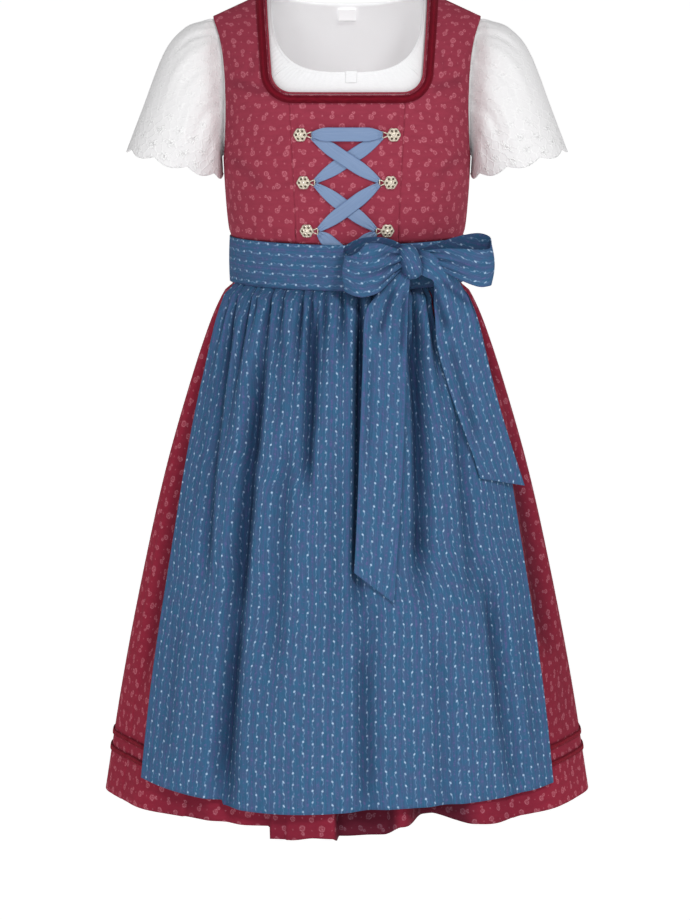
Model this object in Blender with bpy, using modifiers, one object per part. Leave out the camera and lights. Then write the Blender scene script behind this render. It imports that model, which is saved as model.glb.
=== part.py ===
"""A girl's dirndl as it is worn: a laced bodice with a gathered skirt, a blouse under it, and an apron tied in a bow.

Metres, +Z up. The front faces -Y. Left and right are as seen from the front, so right is at +X.
The origin is at the middle of the shoulder line, level with the shoulder seams at the neck, and the garment
hangs below it. Heights are given as z, and a place round the body as an angle: 0 at the centre front, 90 degrees
at the right side seam, 180 degrees at the centre back. Cloth is drawn by its middle surface, with half its wall
on each side.
"""

import math
from collections import namedtuple

import bmesh
import bpy
from mathutils import Matrix, Vector

# Cloth and joins
CLOTH = 0.0014
FINE_CLOTH = 0.0012
TRIM = 0.0010
SEAM_HALF = 0.0002
SIDE_SEAM_HALF = 0.0005
SHOULDER_SEAM_HALF = 0.0008
LAYER_GAP = 0.0007

# Levels
WAIST_SEAM_Z = -0.2425
NECKLINE_Z = -0.0965
UNDERARM_Z = -0.1655
SKIRT_TOP_Z = -0.2429
SKIRT_HEM_Z = -0.802
BAND_TOP_Z = -0.2405
BAND_WIDTH = 0.0450
BAND_FRONT_DIP = 0.0025

TorsoSection = namedtuple("TorsoSection", "z half_width half_depth squareness")
TORSO = (
    TorsoSection(0.020, 0.1390, 0.0960, 2.8),
    TorsoSection(-0.024, 0.1360, 0.0960, 2.8),
    TorsoSection(-0.060, 0.1275, 0.0960, 2.8),
    TorsoSection(-0.100, 0.1242, 0.0960, 2.7),
    TorsoSection(-0.130, 0.1232, 0.0960, 2.6),
    TorsoSection(-0.165, 0.1225, 0.0945, 2.4),
    TorsoSection(-0.202, 0.1205, 0.0915, 2.2),
    TorsoSection(-0.232, 0.1176, 0.0882, 2.1),
    TorsoSection(-0.2425, 0.1148, 0.0855, 2.0),
    TorsoSection(-0.262, 0.1148, 0.0855, 2.0),
)
SHOULDER_NECK_X = 0.082
SHOULDER_SLOPE = 0.46
STRAP_HEIGHTS = (-0.0800, -0.0600, -0.0400, -0.0240, -0.0120, -0.0040)
BACK_COLUMNS_TO_NECK = 5
BACK_COLUMNS = 9
ShoulderRound = namedtuple("ShoulderRound", "fall power")
FRONT_SHOULDER = ShoulderRound(0.110, 1.7)
BACK_SHOULDER = ShoulderRound(0.190, 1.7)

SkirtSection = namedtuple("SkirtSection", "z half_width half_depth")
SKIRT = (
    SkirtSection(-0.2429, 0.1142, 0.0852),
    SkirtSection(-0.2880, 0.1142, 0.0855),
    SkirtSection(-0.2970, 0.1235, 0.0950),
    SkirtSection(-0.3300, 0.1385, 0.1090),
    SkirtSection(-0.4000, 0.1615, 0.1290),
    SkirtSection(-0.4800, 0.1840, 0.1470),
    SkirtSection(-0.5800, 0.2065, 0.1650),
    SkirtSection(-0.6900, 0.2280, 0.1820),
    SkirtSection(-0.8100, 0.2475, 0.1965),
)

# The skirt's rows, as shares of the way from waist seam to hem, and the depth of gathers and folds there.
SkirtRow = namedtuple("SkirtRow", "share gather fold")
SKIRT_ROWS = (
    SkirtRow(0.000, 0.0010, 0.0000),
    SkirtRow(0.080, 0.0018, 0.0000),
    SkirtRow(0.098, 0.0036, 0.0003),
    SkirtRow(0.145, 0.0046, 0.0012),
    SkirtRow(0.250, 0.0034, 0.0030),
    SkirtRow(0.450, 0.0018, 0.0045),
    SkirtRow(0.680, 0.0008, 0.0060),
    SkirtRow(0.870, 0.0004, 0.0070),
    SkirtRow(1.000, 0.0004, 0.0070),
)
SKIRT_GATHERS = 26
COLUMNS_A_GATHER = 4
SKIRT_FOLDS = 13

# Single folds of the skirt below the apron's hem: +depth stands out, -depth goes in, and drop lowers the hem.
# Each begins at the share start of the way down and is full at HEM_FOLDS_FULL.
HEM_FOLDS_FULL = 0.86
HemFold = namedtuple("HemFold", "name centre half_width depth drop edge start")
HEM_FOLDS = (
    HemFold("box pleat", -10.2, 8.8, 0.0060, 0.0065, 0.22, 0.55),
    HemFold("shaded inset", 5.6, 6.6, -0.0060, 0.0035, 0.35, 0.60),
    HemFold("deep valley", 21.5, 8.0, -0.0340, -0.0040, 0.90, 0.55),
    HemFold("soft crest", 35.0, 7.0, 0.0030, 0.0030, 0.90, 0.60),
)

# Long folds that the apron and the skirt under it share: the angle at the top and at the bottom of each.
LongFold = namedtuple("LongFold", "top_z bottom_z top_angle bottom_angle half_width depth")
LONG_FOLDS = (
    LongFold(-0.330, -0.800, -31.0, -31.5, 7.5, 0.0120),
    LongFold(-0.320, -0.470, -9.5, -11.5, 5.0, 0.0050),
    LongFold(-0.300, -0.560, 29.0, 20.0, 6.0, 0.0090),
    LongFold(-0.560, -0.800, 5.5, 4.5, 5.5, 0.0070),
    LongFold(-0.540, -0.770, 42.0, 43.0, 6.0, 0.0060),
)

BAND_HALF_WIDTH = 0.1168
BAND_HALF_DEPTH = 0.0893
BAND_END_ANGLE = 80.0
BAND_END_GAP_ANGLE = 0.15
BAND_FRONT_COLUMNS = 30
BAND_BACK_COLUMNS = 26

ApronEdge = namedtuple("ApronEdge", "z angle")
APRON_EDGES = (
    ApronEdge(-0.287, 72.0),
    ApronEdge(-0.306, 65.5),
    ApronEdge(-0.410, 61.5),
    ApronEdge(-0.510, 58.8),
    ApronEdge(-0.650, 57.2),
    ApronEdge(-0.785, 55.5),
)
ApronRow = namedtuple("ApronRow", "share gather")
APRON_ROWS = (
    ApronRow(0.000, 0.0012),
    ApronRow(0.016, 0.0030),
    ApronRow(0.038, 0.0046),
    ApronRow(0.072, 0.0046),
    ApronRow(0.130, 0.0038),
    ApronRow(0.240, 0.0026),
    ApronRow(0.450, 0.0016),
    ApronRow(0.740, 0.0009),
    ApronRow(1.000, 0.0008),
)
APRON_GATHERS = 16
COLUMNS_AN_APRON_GATHER = 4
APRON_OUT = 0.0036
APRON_HEM_Z = -0.7815
APRON_HEM_RISE_LEFT = 0.0120
APRON_HEM_RISE_RIGHT = 0.0070

# The apron stands off more towards the hem, over the skirt's velvet ribbons and its box pleat.
APRON_LOW_START = 0.45
APRON_LOW_FULL = 0.85
APRON_LOW_OUT = 0.0018
APRON_PLEAT_OUT = 0.0105
APRON_PLEAT_ANGLE = -9.0
APRON_PLEAT_HALF_WIDTH = 26.0

HEM_BAND_WIDTH = 0.0050
HEM_BAND_HEIGHTS = (("lower", 0.0450), ("upper", 0.0615))

# The bodice's edges: the armhole, the princess seam and the neckline.
EdgePoint = namedtuple("EdgePoint", "z x")
ARMHOLE = (
    EdgePoint(-0.0236, 0.1325),
    EdgePoint(-0.0425, 0.1255),
    EdgePoint(-0.0670, 0.1212),
    EdgePoint(-0.1000, 0.1192),
    EdgePoint(-0.1300, 0.1195),
    EdgePoint(-0.1500, 0.1207),
    EdgePoint(-0.1655, 0.1225),
)
PRINCESS_SEAM = (
    EdgePoint(-0.0965, 0.0565),
    EdgePoint(-0.1300, 0.0550),
    EdgePoint(-0.1800, 0.0525),
    EdgePoint(-0.2425, 0.0497),
)
NECK_CORNER_RADIUS = 0.0140
NECK_CORNER_X = 0.0620
NECK_CORNER_STEPS = 5
NECK_BOTTOM_STEPS = 4
BACK_NECK_Z = -0.0300
BACK_NECK_CURVE = 2.6
FRONT_CENTRE_STEPS_UP = 8
FRONT_CENTRE_STEPS_EACH_WAY = 5
SIDE_FRONT_STEPS = 5

# The side front's rows run from the princess seam, then the neckline, to the side seam, then the armhole.
SideFrontRow = namedtuple("SideFrontRow", "inner_z outer_z")
SIDE_FRONT_ROWS = (
    SideFrontRow(WAIST_SEAM_Z, WAIST_SEAM_Z),
    SideFrontRow(-0.2220, -0.2220),
    SideFrontRow(-0.2000, -0.2000),
    SideFrontRow(-0.1800, -0.1820),
    SideFrontRow(-0.1600, UNDERARM_Z),
    SideFrontRow(-0.1400, -0.1590),
    SideFrontRow(-0.1180, -0.1490),
    SideFrontRow(-0.1045, -0.1370),
    SideFrontRow(NECKLINE_Z, -0.1250),
    SideFrontRow(-0.0960, -0.1130),
    SideFrontRow(-0.0935, -0.1020),
    SideFrontRow(-0.0885, -0.0910),
    SideFrontRow(STRAP_HEIGHTS[0], -0.0800),
    SideFrontRow(STRAP_HEIGHTS[1], -0.0660),
    SideFrontRow(STRAP_HEIGHTS[2], -0.0530),
    SideFrontRow(STRAP_HEIGHTS[3], -0.0420),
    SideFrontRow(STRAP_HEIGHTS[4], -0.0335),
    SideFrontRow(STRAP_HEIGHTS[5], -0.0270),
)
BACK_LOW_HEIGHTS = (WAIST_SEAM_Z, -0.2150, -0.1900, UNDERARM_Z)
BACK_ROW_SHARES = (0.14, 0.36, 0.60, 0.80, 0.90, 0.96, 1.0)

# The blouse lies inside the bodice.
BLOUSE_LIFT = -0.0040
BLOUSE_HEM_Z = -0.1800
BLOUSE_UNDERARM_Z = -0.1615
BLOUSE_NECK_Z = -0.0750
BLOUSE_NECK_HALF_WIDTH = 0.0735
BLOUSE_NECK_SQUARENESS = 3.1
BLOUSE_BACK_NECK_Z = -0.0110
BLOUSE_ARMHOLE_IN = 0.0024
BLOUSE_SLEEVE_SEAM = 0.0015
BLOUSE_FRONT_COLUMNS = 36
BLOUSE_FRONT_AWAY = (0.0, 0.12, 0.36, 0.70, 1.0)
BLOUSE_EDGE_HEM_SHARE = 0.36
BLOUSE_EDGE_SIDE_SHARE = 0.42
BLOUSE_BACK_COLUMNS = 16
BLOUSE_BACK_SHARES = (0.14, 0.38, 0.62, 0.80, 0.91, 1.0)
NECK_GATHER_DEPTH = 0.0007

SLEEVE_COLUMNS = 27
SLEEVE_OUT_OF_ARMHOLE = 0.0052
SCALLOPS = 9
SCALLOP_DEPTH = 0.0055
SCALLOP_WAY = (0.32, 0.0, -0.95)
SCALLOP_NOTCH_ANGLE = 66.0
SleeveRing = namedtuple("SleeveRing", "top_x top_z bottom_x bottom_z half_depth")
SLEEVE_RINGS = (
    SleeveRing(0.1430, -0.0280, 0.1275, -0.1625, 0.0465),
    SleeveRing(0.1610, -0.0350, 0.1292, -0.1690, 0.0520),
    SleeveRing(0.1810, -0.0585, 0.1303, -0.1770, 0.0540),
    SleeveRing(0.2040, -0.1165, 0.1293, -0.1850, 0.0530),
    SleeveRing(0.2190, -0.1550, 0.1275, -0.1880, 0.0500),
)

VELVET_INSET = 0.0010
VELVET_WIDTH = 0.0080
PIPING_RADIUS = 0.0014
PIPING_LIFT = 0.0006
PIPING_GAP = 0.0003

# Lacing: the rows of hooks, and where the ribbon turns beside each.
HookRow = namedtuple("HookRow", "z hook_x turn_x")
HOOK_ROWS = (
    HookRow(-0.1353, 0.0453, 0.0345),
    HookRow(-0.1819, 0.0424, 0.0312),
    HookRow(-0.2294, 0.0393, 0.0280),
)
HOOK_RADIUS = 0.0066
HOOK_PETALS = 6
HOOK_PETAL_DEPTH = 0.10
HOOK_OUTLINE_STEPS = 24
HOOK_THICKNESS = 0.0018
EYELET_STEPS = 7
EYELET_ARC = 250.0
EYELET_HOLE_SIDES = 6
EYELET_RADIUS = 0.0032
EYELET_HOLE = 0.0017
EYELET_OUT = 0.0078
EYELET_HOLE_OUT = 0.0084
RIBBON_WIDTH = 0.0135
RIBBON_TURN_WIDTH = 0.0070
RIBBON_NARROWING = 0.22
RIBBON_STEPS = 8
RIBBON_STEP_OVER = 0.0028
RIBBON_STEP_LENGTH = 0.20
RIBBON_END_INWARDS = 0.0090
TURN_TO_STRAND = 0.0062

# The bow's loops: a strip that leaves the knot, turns and comes back, by its place and its two edges.
LoopPoint = namedtuple("LoopPoint", "x y top_z bottom_z")
LEFT_LOOP = (
    LoopPoint(0.0508, -0.0895, -0.2480, -0.2660),
    LoopPoint(0.0340, -0.0955, -0.2385, -0.2770),
    LoopPoint(0.0130, -0.0985, -0.2375, -0.2850),
    LoopPoint(-0.0010, -0.1015, -0.2425, -0.2870),
    LoopPoint(-0.0045, -0.1080, -0.2455, -0.2870),
    LoopPoint(0.0000, -0.1160, -0.2480, -0.2885),
    LoopPoint(0.0150, -0.1190, -0.2490, -0.2925),
    LoopPoint(0.0330, -0.1110, -0.2490, -0.2870),
    LoopPoint(0.0500, -0.0945, -0.2515, -0.2695),
)
RIGHT_LOOP = (
    LoopPoint(0.0764, -0.0806, -0.2500, -0.2650),
    LoopPoint(0.0940, -0.0755, -0.2415, -0.2710),
    LoopPoint(0.1130, -0.0735, -0.2370, -0.2790),
    LoopPoint(0.1300, -0.0745, -0.2370, -0.2830),
    LoopPoint(0.1385, -0.0795, -0.2400, -0.2840),
    LoopPoint(0.1365, -0.0865, -0.2480, -0.2855),
    LoopPoint(0.1200, -0.0935, -0.2485, -0.2850),
    LoopPoint(0.0990, -0.0955, -0.2500, -0.2780),
    LoopPoint(0.0773, -0.0856, -0.2545, -0.2680),
)
KNOT_CENTRE = (0.0641, -0.0880, -0.2590)
KNOT_HALF_SIZE = (0.0125, 0.0105, 0.0165)
KNOT_LEAN = -16.0
KNOT_TURN = 24.0
KNOT_TUCK = 0.18
KNOT_ROUNDNESS = 0.85
KNOT_SEGMENTS = 14
KNOT_RINGS = 10
LOOP_STEPS = 16
LOOP_LINES = (1.0, 0.67, 0.33, 0.0)
LEFT_LOOP_SWELL = 0.004
RIGHT_LOOP_SWELL = 0.003
TAIL_COLUMNS = 4
TAIL_STEPS = 12
SHORT_TAIL_SLANT = 0.024

# The bow's hanging ends: both edges of the strip at each level, and how far each edge stands off the apron
TailRow = namedtuple("TailRow", "left_x left_z right_x right_z left_off right_off")
LONG_TAIL = (
    TailRow(0.0500, -0.2700, 0.0600, -0.2775, 0.0040, 0.0060),
    TailRow(0.0320, -0.2850, 0.0600, -0.2890, 0.0045, 0.0055),
    TailRow(0.0180, -0.3000, 0.0590, -0.3050, 0.0055, 0.0050),
    TailRow(0.0155, -0.3700, 0.0572, -0.3720, 0.0045, 0.0050),
    TailRow(0.0110, -0.4400, 0.0540, -0.4420, 0.0022, 0.0030),
    TailRow(0.0085, -0.5060, 0.0500, -0.5080, 0.0002, 0.0010),
    TailRow(0.0067, -0.5520, 0.0450, -0.5800, 0.0002, 0.0010),
)
SHORT_TAIL = (
    TailRow(0.0720, -0.2745, 0.0780, -0.2690, 0.0060, 0.0090),
    TailRow(0.0820, -0.2860, 0.1060, -0.2790, 0.0060, 0.0150),
    TailRow(0.0850, -0.3000, 0.1215, -0.2960, 0.0050, 0.0150),
    TailRow(0.0890, -0.3440, 0.1345, -0.3380, 0.0040, 0.0130),
    TailRow(0.1040, -0.3920, 0.1480, -0.3940, 0.0010, 0.0100),
    TailRow(0.1225, -0.4430, 0.1605, -0.4400, -0.0005, 0.0080),
    TailRow(0.1310, -0.4740, 0.1760, -0.4870, -0.0008, 0.0070),
)

LABEL_SIZE = (0.0180, 0.0120)
LABEL_TOP_Z = -0.0165
TAB_SIZE = (0.0120, 0.0120)
TAB_X = 0.0040

Finish = namedtuple("Finish", "colour roughness metallic")
FINISHES = {
    "dress_cotton": Finish((0.300, 0.045, 0.075, 1), 0.85, 0.0),
    "velvet": Finish((0.130, 0.008, 0.018, 1), 0.95, 0.0),
    "apron_cotton": Finish((0.052, 0.115, 0.235, 1), 0.85, 0.0),
    "blouse_cotton": Finish((0.860, 0.860, 0.870, 1), 0.90, 0.0),
    "ribbon_satin": Finish((0.210, 0.300, 0.500, 1), 0.40, 0.0),
    "hook_metal": Finish((0.450, 0.400, 0.310, 1), 0.40, 1.0),
}


def clear_scene():
    for obj in list(bpy.data.objects):
        bpy.data.objects.remove(obj, do_unlink=True)


def make_material(name):
    finish = FINISHES[name]
    material = bpy.data.materials.new(name)
    material.use_nodes = True
    shader = material.node_tree.nodes["Principled BSDF"]
    shader.inputs["Base Color"].default_value = finish.colour
    shader.inputs["Roughness"].default_value = finish.roughness
    shader.inputs["Metallic"].default_value = finish.metallic
    return material


def smooth(table, column, at, key="z"):
    """A column of a table read smoothly between rows, which run downwards in z or upwards in another key."""
    sign = -1.0 if key == "z" else 1.0
    places = [sign * getattr(row, key) for row in table]
    values = [getattr(row, column) for row in table]
    at = min(max(sign * at, places[0]), places[-1])
    k = max(i for i in range(len(places) - 1) if places[i] <= at)

    def slope(i):
        low = max(i - 1, 0)
        high = min(i + 1, len(places) - 1)
        return (values[high] - values[low]) / (places[high] - places[low])

    step = places[k + 1] - places[k]
    t = (at - places[k]) / step
    rise = slope(k) * step
    fall = slope(k + 1) * step
    change = values[k + 1] - values[k]
    return values[k] + t * rise + t * t * (3 * change - 2 * rise - fall) + t**3 * (rise + fall - 2 * change)


def ease(t):
    t = min(max(t, 0.0), 1.0)
    return t * t * (3 - 2 * t)


def uneven(number, low, high):
    """A steady but irregular value for the numbered gather or fold."""
    return low + (high - low) * (0.5 + 0.5 * math.sin(2.4 * number + 1.7 * math.sin(1.3 * number)))


def signed_power(value, power):
    return math.copysign(abs(value) ** power, value)


def cloth(name, rows, material, thickness=CLOTH, closed=False):
    """One piece of cloth: a grid of points as an open surface, given its wall by a Solidify modifier."""
    width = len(rows[0])
    spans = width if closed else width - 1
    faces = []
    for r in range(len(rows) - 1):
        for c in range(spans):
            n = (c + 1) % width
            faces.append((r * width + c, r * width + n, (r + 1) * width + n, (r + 1) * width + c))
    mesh = bpy.data.meshes.new(name)
    mesh.from_pydata([tuple(p) for row in rows for p in row], [], faces)
    piece = add_object(name, mesh, material)
    wall = piece.modifiers.new("Wall", "SOLIDIFY")
    wall.thickness = thickness
    wall.offset = 0.0
    return piece


def add_object(name, data, material):
    piece = bpy.data.objects.new(name, data)
    data.materials.append(MATERIALS[material])
    PARTS.objects.link(piece)
    if hasattr(data, "shade_smooth"):
        data.shade_smooth()
    return piece


# The body form that the bodice and the blouse follow


def shoulder_z(x, lift=0.0):
    """The shoulder line, which goes on as a smooth rise across the open neck."""
    if abs(x) < SHOULDER_NECK_X:
        return SHOULDER_SLOPE * (SHOULDER_NECK_X**2 - x**2) / (2 * SHOULDER_NECK_X) + lift
    return SHOULDER_SLOPE * (SHOULDER_NECK_X - abs(x)) + lift


def angle_at(x, z, lift=0.0, back=False):
    """The angle round the torso of the point whose distance from the middle is x."""
    half_width = smooth(TORSO, "half_width", z) + lift
    share = min(abs(x) / half_width, 1.0) ** (smooth(TORSO, "squareness", z) / 2)
    angle = math.copysign(math.asin(share), x)
    return math.copysign(math.pi, x) - angle if back else angle


def torso(angle, z, lift=0.0, back=False):
    """A point of the torso's surface, moved out by lift. It rounds over to the shoulder line at the top."""
    power = 2 / smooth(TORSO, "squareness", z)
    x = (smooth(TORSO, "half_width", z) + lift) * signed_power(math.sin(angle), power)
    depth = (smooth(TORSO, "half_depth", z) + lift) * abs(math.cos(angle)) ** power
    top = shoulder_z(x, lift)
    z = min(z, top)
    rounding = BACK_SHOULDER if back else FRONT_SHOULDER
    share = min((top - z) / rounding.fall, 1.0)
    depth *= (1 - (1 - share) ** rounding.power) ** (1 / rounding.power)
    depth = max(depth, SHOULDER_SEAM_HALF if top - z < 0.001 else SIDE_SEAM_HALF)
    return Vector((x, depth if back else -depth, z))


def on_front(x, z, lift=0.0):
    return torso(angle_at(x, z, lift), z, lift)


def on_back(x, z, lift=0.0):
    return torso(angle_at(x, z, lift, back=True), z, lift, back=True)


def between(start, end, share):
    return tuple(a + (b - a) * share for a, b in zip(start, end))


def mirrored(rows):
    """The same panel on the other side of the body."""
    return [[Vector((-p.x, p.y, p.z)) for p in reversed(row)] for row in rows]


# The bodice


def armhole_x(z):
    return smooth(ARMHOLE, "x", z)


def neck_edge_x(z):
    """Half the neckline's width at a height: a round corner at the bottom, then a slanting side."""
    centre_z = NECKLINE_Z + NECK_CORNER_RADIUS
    side_x = NECK_CORNER_X + NECK_CORNER_RADIUS
    if z >= centre_z:
        share = (z - centre_z) / -centre_z
        return side_x + (SHOULDER_NECK_X - side_x) * share
    return NECK_CORNER_X + math.sqrt(max(NECK_CORNER_RADIUS**2 - (z - centre_z) ** 2, 0.0))


def bodice_front_centre():
    steps = FRONT_CENTRE_STEPS_EACH_WAY
    rows = []
    for level in range(FRONT_CENTRE_STEPS_UP + 1):
        z = WAIST_SEAM_Z + (NECKLINE_Z - WAIST_SEAM_Z) * level / FRONT_CENTRE_STEPS_UP
        half = smooth(PRINCESS_SEAM, "x", z) - SEAM_HALF
        rows.append([on_front(half * k / steps, z) for k in range(-steps, steps + 1)])
    cloth("bodice_front_centre", rows, "dress_cotton")


def bodice_side_front():
    """From the princess seam and the neckline to the side seam and the armhole."""
    ends = []
    for row in SIDE_FRONT_ROWS:
        on_seam = row.inner_z <= NECKLINE_Z
        inner_x = smooth(PRINCESS_SEAM, "x", row.inner_z) + SEAM_HALF if on_seam else neck_edge_x(row.inner_z)
        outer_angle = math.pi / 2
        if row.outer_z > UNDERARM_Z:
            outer_angle = angle_at(armhole_x(row.outer_z), row.outer_z)
        ends.append(((angle_at(inner_x, row.inner_z), row.inner_z), (outer_angle, row.outer_z)))
    shoulder = [(x, shoulder_z(x)) for x in (SHOULDER_NECK_X, ARMHOLE[0].x)]
    ends.append([(angle_at(x, z), z) for x, z in shoulder])
    rows = []
    for start, end in ends:
        shares = [k / SIDE_FRONT_STEPS for k in range(SIDE_FRONT_STEPS + 1)]
        rows.append([torso(*between(start, end, share)) for share in shares])
    cloth("bodice_side_front_left", mirrored(rows), "dress_cotton")
    cloth("bodice_side_front_right", rows, "dress_cotton")


def across_back(edge_x, z, share, lift=0.0):
    """How far from the middle a place on the back is, from the centre at 0 to the edge at 1."""
    edge = angle_at(edge_x, z, lift, back=True)
    angle = math.pi + (edge - math.pi) * share
    half_width = smooth(TORSO, "half_width", z) + lift
    return half_width * max(math.sin(angle), 0.0) ** (2 / smooth(TORSO, "squareness", z))


def back_columns():
    """Places across the back, from the centre at 0 to the armhole at 1, one of them at the neck's corner."""
    corner = math.pi - angle_at(SHOULDER_NECK_X, ARMHOLE[0].z, back=True)
    corner /= math.pi - angle_at(ARMHOLE[0].x, ARMHOLE[0].z, back=True)
    places = [corner * (1 - (1 - k / BACK_COLUMNS_TO_NECK) ** 1.5) for k in range(BACK_COLUMNS_TO_NECK)]
    beyond = BACK_COLUMNS - BACK_COLUMNS_TO_NECK
    return places + [corner + (1 - corner) * k / beyond for k in range(beyond + 1)]


def back_top_z(x, neck_z, neck_half_width, lift=0.0):
    """The upper edge of a back panel: the neck curve, then the shoulder seam."""
    if abs(x) >= neck_half_width:
        return shoulder_z(x, lift)
    side = shoulder_z(neck_half_width, lift)
    return neck_z + (side - neck_z) * (abs(x) / neck_half_width) ** BACK_NECK_CURVE


def bodice_back():
    rows = []
    places = back_columns()
    for z in BACK_LOW_HEIGHTS:
        rows.append([torso(math.pi - (math.pi / 2) * place, z, back=True) for place in places])
    for share in BACK_ROW_SHARES:
        row = []
        for place in places:
            top_x = across_back(ARMHOLE[0].x, ARMHOLE[0].z, place)
            z = UNDERARM_Z + share * (back_top_z(top_x, BACK_NECK_Z, SHOULDER_NECK_X) - UNDERARM_Z)
            row.append(on_back(top_x if share == 1 else across_back(armhole_x(z), z, place), z))
        rows.append(row)
    for row in rows:
        row[0].x = SEAM_HALF
    right = [list(reversed(row)) for row in rows]
    cloth("bodice_back_right", right, "dress_cotton")
    cloth("bodice_back_left", mirrored(right), "dress_cotton")


def neckline_path(inset):
    """The front neckline as (x, z) points from one shoulder to the other, moved into the cloth by inset."""
    corner_z = NECKLINE_Z + NECK_CORNER_RADIUS
    radius = NECK_CORNER_RADIUS + inset
    half = [(NECK_CORNER_X * k / NECK_BOTTOM_STEPS, NECKLINE_Z - inset) for k in range(NECK_BOTTOM_STEPS)]
    for k in range(NECK_CORNER_STEPS + 1):
        turn = math.radians(-90 + 90 * k / NECK_CORNER_STEPS)
        half.append((NECK_CORNER_X + radius * math.cos(turn), corner_z + radius * math.sin(turn)))
    top_x = SHOULDER_NECK_X + inset
    side_x = NECK_CORNER_X + radius
    for z in (*STRAP_HEIGHTS[1:], shoulder_z(top_x)):
        half.append((side_x + (top_x - side_x) * (z - corner_z) / (shoulder_z(top_x) - corner_z), z))
    return [(-x, z) for x, z in reversed(half[1:])] + half


def back_neck_path(inset):
    """The back neckline as (x, z) points on the back panels' own columns, moved into the cloth by inset."""
    half = []
    for place in back_columns()[: BACK_COLUMNS_TO_NECK + 1]:
        x = across_back(ARMHOLE[0].x, ARMHOLE[0].z, place)
        across = x / SHOULDER_NECK_X
        z = back_top_z(x, BACK_NECK_Z, SHOULDER_NECK_X) - inset * (1 - across**3)
        half.append((x + inset * across, min(z, shoulder_z(x + inset * across))))
    return [(-x, z) for x, z in reversed(half[1:])] + half


def neck_velvet():
    lift = CLOTH / 2 + TRIM / 2 + LAYER_GAP
    rows = []
    for inset in (VELVET_INSET, VELVET_INSET + VELVET_WIDTH / 2, VELVET_INSET + VELVET_WIDTH):
        rows.append([on_front(x, z, lift) for x, z in neckline_path(inset)])
    cloth("neck_velvet_front", rows[::-1], "velvet", TRIM)
    rows = []
    for inset in (VELVET_INSET, VELVET_INSET + VELVET_WIDTH / 2, VELVET_INSET + VELVET_WIDTH):
        path = back_neck_path(inset)
        rows.append([on_back(x, z, lift + LAYER_GAP * abs(x) / SHOULDER_NECK_X) for x, z in path])
    cloth("neck_velvet_back", rows, "velvet", TRIM)


def cord_along(name, points, radius, material):
    """A round cord along the points."""
    curve = bpy.data.curves.new(name, "CURVE")
    curve.dimensions = "3D"
    curve.bevel_depth = radius
    curve.bevel_resolution = 1
    curve.use_fill_caps = True
    line = curve.splines.new("POLY")
    line.points.add(len(points) - 1)
    for spot, point in zip(line.points, points):
        spot.co = (*point, 1)
    return add_object(name, curve, material)


def neck_piping():
    out = PIPING_RADIUS + PIPING_GAP
    front = [on_front(x, z, PIPING_LIFT) for x, z in neckline_path(-out)]
    cord_along("neck_piping_front", front, PIPING_RADIUS, "dress_cotton")
    back = [on_back(x, z + 2 * out, PIPING_LIFT) for x, z in back_neck_path(0.0)[1:-1]]
    cord_along("neck_piping_back", back, PIPING_RADIUS, "dress_cotton")


# The lacing


def hook_outline():
    """A six-petalled flower with an eyelet on its +X side, as one closed line."""
    points = []
    join = math.asin(EYELET_RADIUS * math.sin(math.radians(EYELET_ARC / 2)) / HOOK_RADIUS)
    for k in range(HOOK_OUTLINE_STEPS + 1):
        turn = join + (2 * math.pi - 2 * join) * k / HOOK_OUTLINE_STEPS
        radius = HOOK_RADIUS * (1 + HOOK_PETAL_DEPTH * (math.cos(HOOK_PETALS * turn) - 1))
        points.append((radius * math.cos(turn), radius * math.sin(turn)))
    for k in range(1, EYELET_STEPS):
        turn = math.radians(EYELET_ARC * (k / EYELET_STEPS - 0.5))
        points.append((EYELET_OUT + EYELET_RADIUS * math.cos(turn), EYELET_RADIUS * math.sin(turn)))
    return points


def lacing_hook(name, x, z, inwards):
    curve = bpy.data.curves.new(name, "CURVE")
    curve.dimensions = "2D"
    curve.fill_mode = "BOTH"
    curve.extrude = HOOK_THICKNESS / 2
    hole = []
    for k in range(EYELET_HOLE_SIDES):
        turn = 2 * math.pi * k / EYELET_HOLE_SIDES
        hole.append((EYELET_HOLE_OUT + EYELET_HOLE * math.cos(turn), EYELET_HOLE * math.sin(turn)))
    for outline in (hook_outline(), hole):
        line = curve.splines.new("POLY")
        line.points.add(len(outline) - 1)
        for spot, (across, up) in zip(line.points, outline):
            spot.co = (across * inwards, up, 0, 1)
        line.use_cyclic_u = True
    hook = add_object(name, curve, "hook_metal")
    lift = CLOTH / 2 + HOOK_THICKNESS / 2 + LAYER_GAP
    centre = on_front(x, z, lift)
    across = (on_front(x + EYELET_RADIUS, z, lift) - on_front(x - EYELET_RADIUS, z, lift)).normalized()
    up = (on_front(x, z + EYELET_RADIUS, lift) - on_front(x, z - EYELET_RADIUS, lift)).normalized()
    out = across.cross(up).normalized()
    turned = Matrix((across, out.cross(across), out)).transposed().to_4x4()
    hook.matrix_world = Matrix.Translation(centre) @ turned


def lacing_hooks():
    for number, row in enumerate(HOOK_ROWS, 1):
        lacing_hook(f"lacing_hook_left_{number}", -row.hook_x, row.z, 1)
        lacing_hook(f"lacing_hook_right_{number}", row.hook_x, row.z, -1)


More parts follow.
